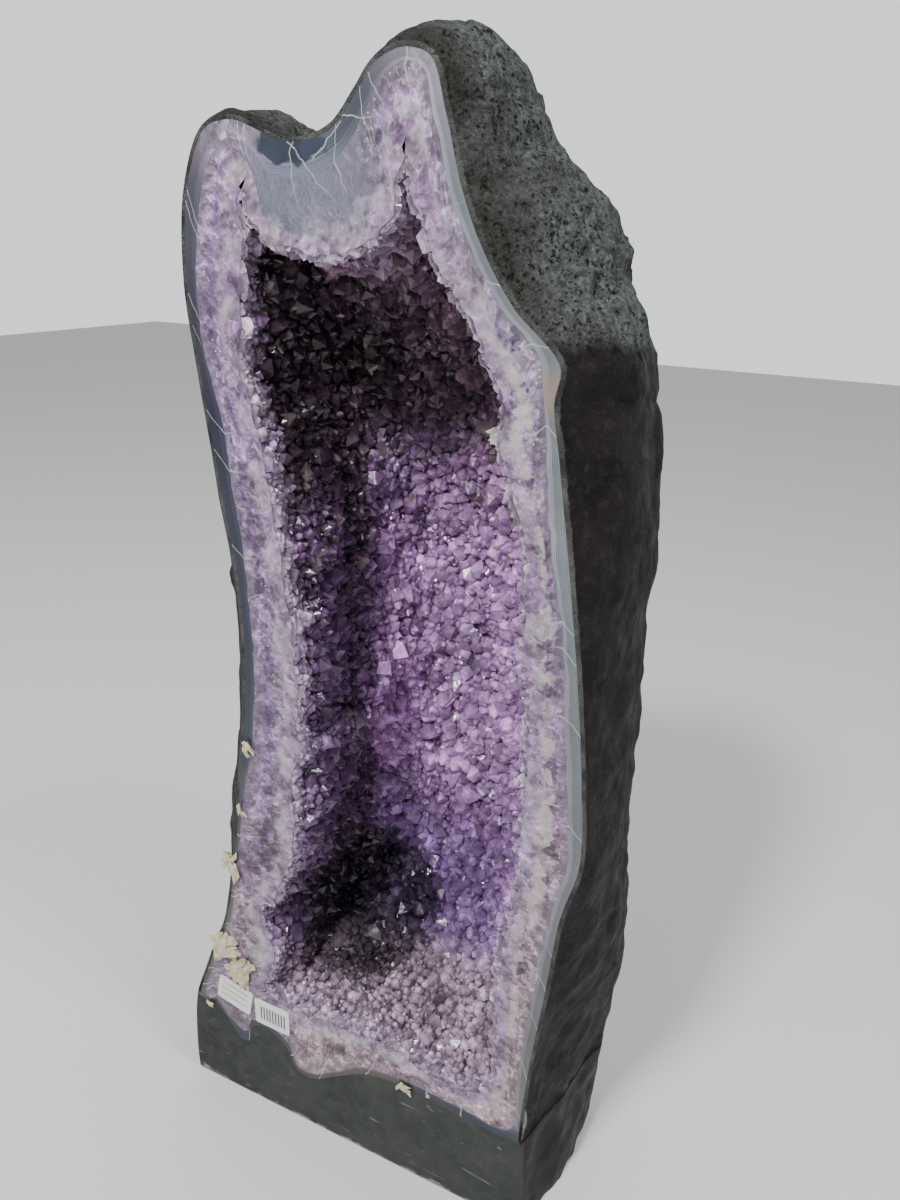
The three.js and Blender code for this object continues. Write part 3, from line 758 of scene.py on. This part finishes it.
def comb_material(name, first, last):
    """Sawn crystal columns; v runs from first at the agate side to last at the hollow side."""
    comb = Shader(name)
    run = comb.sheet_place
    obj = comb.object_place
    v = run.y * (last - first) + first
    u = run.x + comb.noise(45, 3) * 0.02
    grid = comb.add("CombineXYZ", 0, {0: u, 1: v})
    fibre = comb.noise(1.0, 6, 0.62, comb.scaled(grid, (150.0, 3.2, 1.0)))
    fine = comb.noise(1.0, 4, 0.6, comb.scaled(grid, (420.0, 7.0, 1.0)))
    tone = comb.attribute("tone")
    base = comb.tinted(tone, fibre.ramp((0.3, 0.55), (0.5, 0.95), (0.7, 1.6)))
    base = comb.tinted(base, fine.ramp((0.3, 0.75), (0.5, 1.0), (0.66, 1.3)))
    ragged = comb.mix(0.006, obj, comb.noise(120, 3))
    grains = comb.cells(250, "Color", ragged).y
    base = comb.tinted(base, grains.ramp((0.05, 0.62), (0.55, 1.0), (0.95, 1.6)))
    clumps = comb.cells(95, "Color", ragged).x
    base = comb.tinted(base, clumps.ramp((0.1, 0.62), (0.9, 1.4)))
    cloud = comb.noise(38, 3, 0.6).ramp((0.35, 0.65), (0.65, 1.4))
    base = comb.tinted(base, cloud)
    uneven = comb.noise(42, 5, 0.7) - 0.5
    layer = v + uneven * 0.9
    grey_rim = layer.ramp((0.02, 0.7), (0.26, 0.0))
    base = comb.mix(grey_rim, base, (0.14, 0.13, 0.165))
    violet = (layer + comb.noise(20, 3) * 0.4).ramp((0.5, 0.0), (0.62, 0.75), (0.8, 0.1))
    base = comb.mix(violet, base, comb.tinted(base, (0.68, 0.5, 0.82)))
    base = comb.tinted(base, (1.0, 0.9, 0.99))
    cream = layer.ramp((0.36, 0.0), (0.5, 0.8), (0.8, 0.6), (1.0, 0.0))
    cream = cream * obj.x.ramp((0.07, 0.0), (0.11, 1.0))
    cream = cream * comb.cells(120, "Color", ragged).z.ramp((0.35, 0.0), (0.6, 1.0))
    creamy = comb.tinted((0.48, 0.41, 0.4), fibre.ramp((0.3, 0.75), (0.7, 1.25)))
    base = comb.mix(cream, base, creamy)
    white = layer.ramp((0.6, 0.0), (0.82, 0.8), (1.05, 0.35))
    white = white * comb.noise(48, 5, 0.65).ramp((0.45, 0.0), (0.6, 1.0))
    base = comb.mix(white, base, (0.48, 0.43, 0.48))
    # Painted glints: small bright specks as painted highlights.
    glint = comb.cells(240).ramp((0.12, 1.0), (0.2, 0.0))
    glint = glint * comb.noise(45, 3).ramp((0.52, 0.0), (0.62, 0.8))
    base = comb.mix(glint, base, (0.68, 0.65, 0.69))
    wisps = comb.noise(1.0, 3, 0.5, comb.scaled(grid, (260.0, 2.0, 1.0)), 0.8)
    wisps = wisps.ramp((0.62, 0.0), (0.7, 0.6))
    base = comb.mix(wisps, base, (0.5, 0.48, 0.51))
    calm = tone.y - (tone.x - 0.05)
    calm = calm.ramp((0.02, 0.0), (0.045, 0.9)) * layer.ramp((0.5, 1.0), (0.85, 0.15))
    base = comb.mix(calm, base, comb.tinted(tone, fine.ramp((0.3, 0.8), (0.66, 1.35))))
    crack = fracture(comb, run.x)
    crack = crack * v.ramp((0.1, 0.8), (0.6, 0.0))
    base = comb.mix(crack, base, (0.5, 0.5, 0.48))
    return comb, base, fibre, grains


AT_DRUSE = 0.85
comb, base, fibre, grains = comb_material("comb_quartz", 0.0, AT_DRUSE)
comb.set(Base_Color=base, Specular_IOR_Level=0.4)
comb.set(Roughness=comb.noise(150, 3).ramp((0.4, 0.2), (0.7, 0.55)))
relief = comb.bump(fibre, 0.5, 0.0025)
comb.set(Normal=comb.bump(grains, 0.45, 0.0012, relief))
quartz_band = add_object("quartz_columns", quartz_mesh, comb.material, smooth=False)
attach(quartz_band, "root")
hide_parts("quartz_band")

# ----------------------------------------
# Amethyst lining: the purple ends of the crystals. The lining is a lumpy skin with a narrow sawn
# edge at the face, and thousands of six-sided points stand on it, grown into rounded mounds.
# ----------------------------------------
MOUTH_EDGE = [
    (-92, 152), (-80, 178), (-79, 208), (-90, 240), (-76, 262), (-62, 290), (-50, 335),
    (-50, 370), (-46, 405), (-38, 430), (-39, 455), (-42, 500), (-47, 550), (-52, 600),
    (-56, 635), (-60, 672), (-70, 705), (-78, 745), (-74, 785), (-71, 815), (-68, 850),
    (-61, 828), (-40, 812), (-10, 809), (22, 813), (41, 828), (49, 848), (54, 870), (60, 843),
    (70, 821), (80, 801), (94, 785), (106, 763), (118, 742), (122, 722), (131, 680), (141, 645),
    (150, 600), (151, 565), (156, 520), (159, 460), (159, 420), (153, 345), (146, 280),
    (148, 210), (146, 165), (132, 139), (100, 136), (65, 142), (30, 150), (-20, 143), (-62, 139),
    (-85, 147),
]
MOUTH_MARKS = (0, 20, 23, 27, 33, 46, 52)
HOLLOW = (36, 455, 176, 2.6)
mouth = stations(MOUTH_EDGE, MOUTH_MARKS, SEGMENT_STATIONS)
LINING_RINGS = 64
rng = np.random.default_rng(7)
mouth_normal = outward(mouth)
STATION_STEP = 3.4
line = np.outer(np.arange(len(mouth)) * STATION_STEP, (1, 0, 0))
tooth, bay = lattice_noise(line, 9, 3), lattice_noise(line, 24, 13)
mouth_cut = mouth[:, :2] + mouth_normal * (2.2 * tooth + 3.0 * bay)[:, None]
lining_wall = lens(mouth_cut, no_swell, HOLLOW, depth_shares(LINING_RINGS))


def mounds(points):
    """Height of the lining in mm: rounded mounds of two sizes."""
    large = 9 * smoothstep(-0.1, 0.9, lattice_noise(points, 46, 61))
    small = 4 * smoothstep(-0.2, 0.9, lattice_noise(points, 19, 67))
    return large + small


lining_in = -wall_normals(lining_wall)
from_face = smoothstep(2, 26, lining_wall[..., 1])
lining_wall = lining_wall + lining_in * (mounds(lining_wall) * from_face)[..., None]
druse_wall = lens(druse[:, :2], no_swell, LINING, depth_shares(HIDDEN_RINGS))
lining_rows = np.concatenate([druse_wall[:0:-1], face_rows(druse, mouth_cut, 5), lining_wall[1:]])
lining_v = np.concatenate([np.zeros(HIDDEN_RINGS - 1), np.linspace(0, 1, 5), np.ones(LINING_RINGS - 1)])
lining_mesh = ring_mesh("amethyst_lining", lining_rows, pole(LINING), pole(HOLLOW), lining_v,
                        druse[:, :2])


def blended(one, other, share):
    """one + (other - one) share, for colours and a share of each."""
    return one + (np.array(other) - one) * share[:, None]


def zone_tint(seats):
    """Colour of the amethyst by place.

    Brown-purple under the roof, darkened there as painted shadow and more so to its left; dark at the left
    as painted shadow of the left lip, less dark near the face; lilac at the right and violet below it;
    darkened as painted shade in the pocket at the lower left; pink-lilac on the floor and paler at the lip.
    """
    z = seats[:, 2]
    shadowed = np.array([0.037, 0.018, 0.043])
    roof = np.array([0.062, 0.033, 0.054])
    lilac = (0.255, 0.145, 0.29)
    violet = (0.13, 0.07, 0.175)
    floor = (0.235, 0.165, 0.225)
    lip = (0.21, 0.13, 0.235)
    # Painted shadow of the left lip: left of a sloping plane the wall takes the shadowed colour, right of
    # it lilac.
    across_shadow_edge = seats[:, 0] + 0.48 * seats[:, 1] + 5 * lattice_noise(seats, 22, 89)
    right = smoothstep(4, 24, across_shadow_edge)
    # Painted shadow under the roof, darker towards its left.
    roof = roof * (0.32 + 0.9 * smoothstep(-45, 45, seats[:, 0] + 0.25 * (z - 700)))[:, None]
    shadowed = blended(shadowed, (0.085, 0.045, 0.1), smoothstep(95, 35, seats[:, 1]))
    colour = blended(shadowed, lilac, right)
    colour = blended(colour, violet, smoothstep(380, 240, z) * right)
    colour = blended(colour, roof, smoothstep(570, 690, z + 40 * lattice_noise(seats, 70, 83)))
    brow = smoothstep(75, 10, seats[:, 1]) * smoothstep(745, 790, z) * smoothstep(-62, -20, seats[:, 0])
    colour = blended(colour, (0.15, 0.09, 0.15), brow)
    colour = blended(colour, floor, smoothstep(200, 165, z))
    # Painted shade in the pocket at the lower left.
    from_pocket = np.linalg.norm((seats - np.array([-35, 100, 205])) / np.array([1.0, 1.2, 1.0]), axis=1)
    pocket = smoothstep(56, 88, from_pocket + 9 * lattice_noise(seats, 25, 85))
    colour = colour * (0.16 + 0.84 * pocket)[:, None]
    return blended(colour, lip, smoothstep(26, 3, seats[:, 1] + 7 * lattice_noise(seats, 14, 87)))


lining_drawn = np.vstack([lining_rows.reshape(-1, 3), pole(LINING), pole(HOLLOW)])
tone_values = np.ones((len(lining_drawn), 4))
# The skin shows only in the gaps between points; it takes half the tint, as painted shade there.
tone_values[:, :3] = zone_tint(lining_drawn) * 0.5
front = lining_drawn[:, 1] < 0.5
tone_values[front, :3] = 0.4 * zone_tint(lining_drawn[front]) + 0.6 * np.array([0.24, 0.17, 0.27])
colour_points(lining_mesh, "tone", tone_values)
skin, edge_tone = comb_material("amethyst_skin", AT_DRUSE, 1.1)[:2]
skin.set(Base_Color=edge_tone)
skin.set(Roughness=0.3, Normal=skin.bump(skin.cells(110), 0.8, 0.003))
lining = add_object("amethyst_lining", lining_mesh, skin.material, smooth=False)
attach(lining, "root")
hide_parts("amethyst_druse")


def point_cloud(spacing, jitter):
    """Seats on the lining about spacing mm apart: places and inward normals."""
    seats, normals = [], []
    normal = -wall_normals(lining_wall)
    for ring in range(1, LINING_RINGS):
        a, b = lining_wall[ring - 1], lining_wall[ring]
        step = np.linalg.norm(b - a, axis=1)
        width = np.linalg.norm(np.roll(b, -1, 0) - b, axis=1)
        chance = step * width / spacing ** 2
        picks = np.nonzero(rng.random(len(chance)) < chance)[0]
        share = rng.random(len(picks))[:, None]
        seats.append(a[picks] * (1 - share) + b[picks] * share)
        normals.append(normal[ring][picks])
    seats = np.concatenate(seats)
    normals = np.concatenate(normals)
    return seats, unit(normals + jitter * rng.normal(size=normals.shape))


def crystal_points(name, seats, axes, widths, lengths, tints, material):
    """One mesh of six-sided points: a column and a tip whose six faces are of uneven size.

    Corner k of crystal i lies at seat + width (cos, sin)(k pi / 3) in the plane across its axis.
    """
    count = len(seats)
    corners = 13
    helper = np.where(np.abs(axes[:, 2:3]) < 0.8, np.array([[0, 0, 1.0]]), np.array([[1.0, 0, 0]]))
    side = unit(np.cross(axes, helper))
    other = np.cross(axes, side)
    turn = rng.random(count)[:, None] * math.pi / 3 + np.arange(6)[None] * math.pi / 3
    radius = widths[:, None] * (1 + 0.12 * rng.normal(size=(count, 6))) / 2
    ring = (np.cos(turn) * radius)[..., None] * side[:, None]
    ring = ring + (np.sin(turn) * radius)[..., None] * other[:, None]
    base = seats[:, None] - axes[:, None] * (0.35 * lengths)[:, None, None] + ring * 0.85
    shoulder_share = 0.18 + 0.12 * rng.random((count, 6))
    shoulder = seats[:, None] + axes[:, None] * (shoulder_share * lengths[:, None])[..., None] + ring
    lean = rng.normal(size=(count, 1)) * side + rng.normal(size=(count, 1)) * other
    lean = lean * widths[:, None] * 0.09
    tip = seats + axes * (0.72 * lengths)[:, None] + lean
    points = np.concatenate([base, shoulder, tip[:, None]], axis=1)
    start = (np.arange(count) * corners)[:, None, None]
    k = np.arange(6)
    n = (k + 1) % 6
    quads = np.stack([k, n, n + 6, k + 6], -1)[None] + start
    tips = np.stack([k + 6, n + 6, np.full(6, 12)], -1)[None] + start
    bottoms = np.arange(5, -1, -1)[None] + start[:, 0]
    loops = np.concatenate([quads.ravel(), tips.ravel(), bottoms.ravel()])
    sizes = np.concatenate([np.full(count * 6, 4), np.full(count * 6, 3), np.full(count, 6)])
    mesh = new_mesh(name, points.reshape(-1, 3), loops, sizes)
    paler = np.concatenate([np.zeros(6), np.full(6, 0.45), [1.0]])
    colour = np.ones((count, corners, 4))
    colour[..., :3] = tints[:, None]
    colour[..., 3] = paler[None]
    colour_points(mesh, "tint", colour)
    return add_object(name, mesh, material, smooth=False)


gem = Shader("amethyst_points")
tint = gem.attribute("tint")
height = gem.attribute("tint", "Alpha")
# Each point is darkened towards its foot, as painted shade in the gaps between points, and paler to its
# tip.
deeper = gem.tinted(tint, (0.55, 0.47, 0.62))
paler = gem.tinted(tint, (1.9, 1.95, 1.85))
body_tone = gem.mix(height.ramp((0.0, 0.0), (0.4, 1.0)), deeper, tint)
body_tone = gem.mix(height.ramp((0.4, 0.0), (1.0, 1.0)), body_tone, paler)
veils = gem.noise(120, 5, 0.7).ramp((0.32, 0.6), (0.5, 1.0), (0.7, 1.6))
body_tone = gem.tinted(body_tone, veils)
frost = gem.noise(260, 4, 0.7).ramp((0.56, 0.0), (0.74, 0.5))
body_tone = gem.mix(frost, body_tone, gem.tinted(body_tone, (2.2, 2.2, 2.1)))
gem.set(Base_Color=body_tone, Roughness=gem.noise(150, 3).ramp((0.4, 0.06), (0.6, 0.34)))
gem.set(IOR=1.53, Subsurface_Weight=0.5, Subsurface_Radius=(1.0, 0.75, 1.0), Subsurface_Scale=0.006)
gem.set(Normal=gem.bump(gem.noise(300, 3), 0.3, 0.001))


def grow(name, keep, spacing, width, length):
    """Points of one size class on the part of the lining that keep selects."""
    seats, axes = point_cloud(spacing * 0.55, 0.3)
    _, lone = np.unique(np.floor(seats / spacing).astype(int), axis=0, return_index=True)
    seats, axes = seats[lone], axes[lone]
    chosen = keep(seats) & (seats[:, 1] > 3)
    seats, axes = seats[chosen], axes[chosen]
    size = np.exp(rng.normal(0, 0.25, len(seats)))
    size *= np.where(seats[:, 2] < 175, 0.72, 1.0)
    near = 0.42 + 0.58 * smoothstep(3, 34, seats[:, 1])
    widths = np.clip(width * size * near, 3.5, 20)
    lengths = np.clip(length * size * near, 4, 22)
    shade = np.exp(rng.normal(0, 0.26, (len(seats), 1)) + 0.4 * lattice_noise(seats, 24, 91)[:, None])
    tints = np.clip(zone_tint(seats) * shade, 0, 1)
    milky = rng.random(len(seats)) < 0.1
    tints[milky] = tints[milky] * 1.5 + 0.02
    beige = (rng.random(len(seats)) < 0.07) & (seats[:, 2] > 560)
    tints[beige] = np.array([0.12, 0.085, 0.095]) * shade[beige]
    piece = crystal_points(name, seats, axes, widths, lengths, tints, gem.material)
    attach(piece, "root")


grow("points_upper", lambda s: s[:, 2] > 560, 8.4, 11.6, 9.5)
grow("points_lower", lambda s: s[:, 2] <= 560, 8.8, 13.2, 10.5)
grow("points_small_upper", lambda s: s[:, 2] > 560, 6.4, 7.0, 9.0)
grow("points_small_lower", lambda s: s[:, 2] <= 560, 6.4, 7.0, 9.0)
grow("points_large", lambda s: s[:, 1] > 30, 38.0, 15.0, 13)

# The row of points at the mouth was sawn through with the face, so its crystals end at y = 0.
lip_count = 2600
lip_at = rng.integers(0, len(mouth_cut), lip_count)
lip_depth = 0.5 + 16 * rng.random(lip_count) ** 1.4
lip_seats = np.stack([mouth_cut[lip_at, 0], lip_depth, mouth_cut[lip_at, 1]], 1)
lip_axes = np.stack([-mouth_normal[lip_at, 0], np.full(lip_count, 0.1), -mouth_normal[lip_at, 1]], 1)
lip_axes = unit(lip_axes + 0.45 * rng.normal(size=lip_axes.shape))
lip_size = np.exp(rng.normal(0, 0.25, lip_count))
lip_shade = np.exp(rng.normal(0, 0.35, (lip_count, 1)))
lip_tint = np.clip((0.4 * zone_tint(lip_seats) + 0.6 * np.array([0.3, 0.235, 0.32])) * lip_shade, 0, 1)
lip = crystal_points("points_at_mouth", lip_seats, lip_axes, 7.5 * lip_size, 5.6 * lip_size, lip_tint,
                     gem.material)
lip_co = np.zeros(len(lip.data.vertices) * 3, np.float32)
lip.data.vertices.foreach_get("co", lip_co)
lip_co = lip_co.reshape(-1, 3)
lip_floor = np.repeat(0.00005 + 0.0006 * rng.random(lip_count), len(lip_co) // lip_count)
lip_co[:, 1] = np.maximum(lip_co[:, 1], FACE_Y + lip_floor)
lip.data.vertices.foreach_set("co", lip_co.ravel())
lip.data.update()
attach(lip, "root")

# ----------------------------------------
# Calcite: cream blades and broken chunks that grew among the quartz, each a lump bounded by flat
# cleavage faces with low steps on them.
# ----------------------------------------
calcite = Shader("cream_calcite")
veil = calcite.noise(110, 5, 0.6).ramp((0.3, (0.4, 0.33, 0.19)), (0.5, (0.55, 0.49, 0.33)),
                                       (0.75, (0.68, 0.63, 0.48)))
grain = calcite.noise(70, 2, 0.5, calcite.scaled(calcite.object_place, (5.0, 1.0, 1.0)))
veil = calcite.mix(grain.ramp((0.55, 0.0), (0.7, 0.6)), veil, (0.28, 0.21, 0.13))
calcite.set(Base_Color=veil, Roughness=calcite.noise(130, 3).ramp((0.4, 0.28), (0.7, 0.6)))
calcite.set(Normal=calcite.bump(calcite.cells(190), 0.4, 0.0015))


def sphere_grid(steps):
    """Unit directions p / |p| of a grid on each side of a cube, with shared edges, and its quads."""
    a, b = np.meshgrid(np.linspace(-1, 1, steps + 1), np.linspace(-1, 1, steps + 1), indexing="ij")
    sides = [np.roll(np.stack([np.full(a.shape, sign), a, b], -1), axis, axis=-1)
             for axis in range(3) for sign in (-1.0, 1.0)]
    corners, number = np.unique(np.round(sides, 6).reshape(-1, 3), axis=0, return_inverse=True)
    number = number.reshape(6, steps + 1, steps + 1)
    quads = np.stack([number[:, :-1, :-1], number[:, 1:, :-1], number[:, 1:, 1:], number[:, :-1, 1:]], -1)
    quads[::2] = quads[::2, ..., ::-1]
    return unit(corners), quads.reshape(-1, 4)


LUMP_DIRECTIONS, LUMP_QUADS = sphere_grid(12)


def cleaved_lump(half, seed):
    """Lump of half sizes half (metres) round the origin: radius(d) = min over faces of h / (n . d)."""
    chance = np.random.default_rng(seed)
    faces = unit(chance.normal(size=(14, 3)))
    reach = 0.75 + 0.25 * chance.random(14)
    facing = np.maximum(LUMP_DIRECTIONS @ faces.T, 1e-3)
    radius = (reach / facing).min(axis=1)
    skin_points = LUMP_DIRECTIONS * radius[:, None]
    steps = 0.03 * np.round(2 * lattice_noise(skin_points, 0.35, seed))
    skin_points *= 1 + steps[:, None]
    return skin_points / np.abs(skin_points).max(0) * half


# Number of blades, how long a blade is against the node, and the way the blades lie in the face.
CALCITE_BLADES = {
    "calcite_upper_blade": (11, 1.65, 60), "calcite_lower_blade": (11, 1.5, 35),
    "calcite_edge_cluster": (6, 0.6, -75), "calcite_edge_small": (3, 0.8, -60),
    "calcite_left_middle": (3, 0.85, -80), "calcite_foot_corner": (3, 0.9, -20),
    "calcite_foot_middle": (5, 0.9, 10), "calcite_floor_chunk": (4, 0.8, 20),
}
for number, (node, (blades, share, lie)) in enumerate(CALCITE_BLADES.items()):
    low, high = (np.array(corner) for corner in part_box(node))
    size = high - low
    spread = np.random.default_rng(40 + number)
    faces, corners = [], []
    for blade in range(blades):
        middle = (low + high) / 2 + (spread.random(3) - 0.5) * size * np.array([0.5, 0.2, 0.6])
        if low[1] < FACE_Y:
            middle[1] = FACE_Y - 0.001 - 0.0025 * spread.random()
        length = size.max() * share * (0.7 + 0.6 * spread.random())
        lump = cleaved_lump(length * np.array([0.5, 0.1, 0.15]), 90 + 10 * number + blade)
        turn = math.radians(lie) + 0.75 * spread.normal()
        rock_back = 0.35 * spread.normal()
        lump = lump @ np.array([[1, 0, 0], [0, math.cos(rock_back), math.sin(rock_back)],
                                [0, -math.sin(rock_back), math.cos(rock_back)]])
        lump = lump @ np.array([[math.cos(turn), 0, math.sin(turn)], [0, 1, 0],
                                [-math.sin(turn), 0, math.cos(turn)]])
        faces.append(LUMP_QUADS + len(LUMP_DIRECTIONS) * blade)
        corners.append(middle + lump)
    lump_mesh = bpy.data.meshes.new(node + "_blades")
    lump_mesh.from_pydata(np.concatenate(corners).tolist(), [], np.concatenate(faces).tolist())
    lump_mesh.update()
    chunk = add_object(node + "_blades", lump_mesh, calcite.material, smooth=False)
    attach(chunk, "root")
    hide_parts(node)

# ----------------------------------------
# Larger points: a few crystals that outgrew the lining, each with smaller ones round its foot.
# They grew in place on the wall of the hollow.
# ----------------------------------------
POINT_AXES = {
    "amethyst_point_upper": (0.74, -0.62, 0.26), "amethyst_point_middle": (0.84, -0.5, -0.17),
    "amethyst_point_left": (0.95, -0.28, 0.1), "amethyst_point_low": (0.93, -0.3, 0.14),
    "quartz_point_right": (-0.97, -0.14, -0.17),
}
for node, axis in POINT_AXES.items():
    low, high = (np.array(corner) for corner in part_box(node))
    middle = ((low + high) / 2 - place([0, 0, 0])) / MM
    size = (high - low) / MM
    axis = unit(np.array(axis))
    count = 9
    seats = np.tile(middle, (count, 1)) + rng.normal(size=(count, 3)) * size * 0.16
    axes = axis + 0.35 * rng.normal(size=(count, 3))
    seats[0], axes[0] = middle - 0.1 * size.max() * axis, axis
    axes = unit(axes)
    widths = size.min() * np.concatenate([[0.8], 0.3 + 0.15 * rng.random(count - 1)])
    lengths = size.max() * np.concatenate([[0.68], 0.32 + 0.12 * rng.random(count - 1)])
    tone = np.array([0.2, 0.13, 0.26]) if node.startswith("amethyst") else np.array([0.33, 0.33, 0.34])
    tints = tone * np.exp(rng.normal(0, 0.18, (count, 1)))
    cluster = crystal_points(node + "_cluster", seats, axes, widths, lengths, tints, gem.material)
    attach(cluster, "root")
    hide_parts(node)

# ----------------------------------------
# Paper labels: two small white stickers with rounded corners, pressed on the polished face. One
# carries plain ruled lines and the other a plain block of stripes.
# ----------------------------------------
# Middle x and z, tilt in degrees, and whether it carries stripes instead of lines.
LABEL_SHEETS = {"label_left": (-127, 127, 11, False), "label_right": (LABEL_RIGHT_X, 120, 0, True)}
HALF_WIDE, HALF_HIGH = 20, 15
for node, (x, z, tilt, barred) in LABEL_SHEETS.items():
    sheet = Shader(node + "_paper")
    run = sheet.sheet_place
    across, up = run.x, run.y
    if barred:
        marks = sheet.math("LESS_THAN", sheet.math("FRACT", across * 12.0), 0.48)
        marks = marks * sheet.within(up - 0.48, 0.27)
    else:
        marks = sheet.math("LESS_THAN", sheet.math("FRACT", up * 4.0), 0.16)
    inside = sheet.within(across - 0.5, 0.38) * sheet.within(up - 0.5, 0.36)
    ink = marks * inside * (0.95 if barred else 0.7)
    fibre = sheet.noise(420, 3).ramp((0.3, (0.68, 0.68, 0.67)), (0.7, (0.8, 0.8, 0.79)))
    sheet.set(Base_Color=sheet.mix(ink, fibre, (0.03, 0.03, 0.04)), Roughness=0.55)
    sheet.set(Normal=sheet.bump(sheet.noise(60, 2), 0.15, 0.0008))
    columns, rows, corner = 24, 18, 2.5
    gx, gz = np.meshgrid(np.linspace(-HALF_WIDE, HALF_WIDE, columns + 1),
                         np.linspace(-HALF_HIGH, HALF_HIGH, rows + 1))
    reach = np.maximum(np.abs(gx) / HALF_WIDE, np.abs(gz) / HALF_HIGH)
    flat_x, flat_z = HALF_WIDE - corner, HALF_HIGH - corner
    over_x, over_z = np.maximum(np.abs(gx) - flat_x, 0), np.maximum(np.abs(gz) - flat_z, 0)
    pull = np.minimum(corner / np.maximum(np.hypot(over_x, over_z), 1e-6), 1)
    px = np.sign(gx) * (np.minimum(np.abs(gx), flat_x) + over_x * pull)
    pz = np.sign(gz) * (np.minimum(np.abs(gz), flat_z) + over_z * pull)
    turn = math.radians(tilt)
    wx = x + px * math.cos(turn) + pz * math.sin(turn)
    wz = z - px * math.sin(turn) + pz * math.cos(turn)
    lift = -0.55 - 0.2 * smoothstep(0.75, 1.0, reach) * (gx > 0)
    top = np.stack([wx, lift, wz], -1).reshape(-1, 3)
    under = np.stack([wx, np.full(wx.shape, -0.1), wz], -1).reshape(-1, 3)
    number = np.arange(top.shape[0]).reshape(rows + 1, columns + 1)
    quads = np.stack([number[:-1, :-1], number[:-1, 1:], number[1:, 1:], number[1:, :-1]], -1)
    quads = quads.reshape(-1, 4)
    rim_loop = np.concatenate([number[0, :-1], number[:-1, -1], number[-1, :0:-1], number[:0:-1, 0]])
    rim_next = np.roll(rim_loop, -1)
    offset = top.shape[0]
    edges = np.stack([rim_next, rim_loop, rim_loop + offset, rim_next + offset], -1)
    every = np.concatenate([quads, quads[:, ::-1] + offset, edges])
    label_mesh = bpy.data.meshes.new(node + "_sheet")
    label_mesh.from_pydata(place(np.concatenate([top, under])).tolist(), [], every.tolist())
    flat_uv = np.tile(np.stack([gx / 40 + 0.5, gz / 30 + 0.5], -1).reshape(-1, 2), (2, 1))
    uv = label_mesh.uv_layers.new(name="sheet")
    uv.data.foreach_set("uv", flat_uv[every.ravel()].astype(np.float32).ravel())
    label_mesh.update()
    label = add_object(node + "_sheet", label_mesh, sheet.material, smooth=False)
    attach(label, "root")
    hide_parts(node)

# ----------------------------------------
# Studio: a plain pale floor under a world light that fades from grey to near white, a high soft key from in
# front, a wide fill from the left and a high light from the right, which brings out the coat's relief.
# ----------------------------------------
floor_mesh = bpy.data.meshes.new("studio_floor")
floor_mesh.from_pydata([(-6, -6, 0), (6, -6, 0), (6, 6, 0), (-6, 6, 0)], [], [(0, 1, 2, 3)])
paper = Shader("studio_paper")
paper.set(Base_Color=(0.72, 0.72, 0.71, 1), Roughness=0.9)
floor = add_object("studio_floor", floor_mesh, paper.material)

world = bpy.data.worlds.new("studio")
bpy.context.scene.world = world
world.use_nodes = True
sky = world.node_tree.nodes
around = sky.new("ShaderNodeTexCoord")
facing = sky.new("ShaderNodeSeparateXYZ")
world.node_tree.links.new(around.outputs["Generated"], facing.inputs[0])
fade = sky.new("ShaderNodeValToRGB")
world.node_tree.links.new(facing.outputs["Y"], fade.inputs["Fac"])
fade.color_ramp.elements[0].position = 0.0
fade.color_ramp.elements[0].color = (0.24, 0.245, 0.25, 1)
fade.color_ramp.elements[1].position = 0.6
fade.color_ramp.elements[1].color = (0.9, 0.92, 0.95, 1)
world.node_tree.links.new(fade.outputs["Color"], sky["Background"].inputs["Color"])
sky["Background"].inputs["Strength"].default_value = 1.3


def area_light(name, offset, size, power):
    """Square light that looks at the middle of the stone from offset metres away."""
    data = bpy.data.lights.new(name, "AREA")
    data.size = size
    data.energy = power
    light = bpy.data.objects.new(name, data)
    bpy.context.scene.collection.objects.link(light)
    target = np.array([0.0, 0.0, 0.45])
    light.location = target + np.array(offset)
    light.rotation_euler = Vector(offset).to_track_quat("Z", "Y").to_euler()


area_light("key", (-0.24, -1.95, 2.3), 0.4, 90)
area_light("fill", (-1.8, -2.0, 0.9), 1.6, 10)
area_light("side", (1.3, -0.35, 2.1), 0.4, 24)

CAMERA_PLACE = (342.7, -519.5, 821.3)
CAMERA_TURNS = ((25.704, "Z"), (68.0, "X"), (1.784, "Z"))
camera_data = bpy.data.cameras.new("camera")
camera_data.sensor_width = 36
camera_data.lens = 27.07
camera = bpy.data.objects.new("camera", camera_data)
bpy.context.scene.collection.objects.link(camera)
stand = Matrix.Translation(place(CAMERA_PLACE))
for degrees, axis in CAMERA_TURNS:
    stand = stand @ Matrix.Rotation(math.radians(degrees), 4, axis)
camera.matrix_world = stand
bpy.context.scene.camera = camera
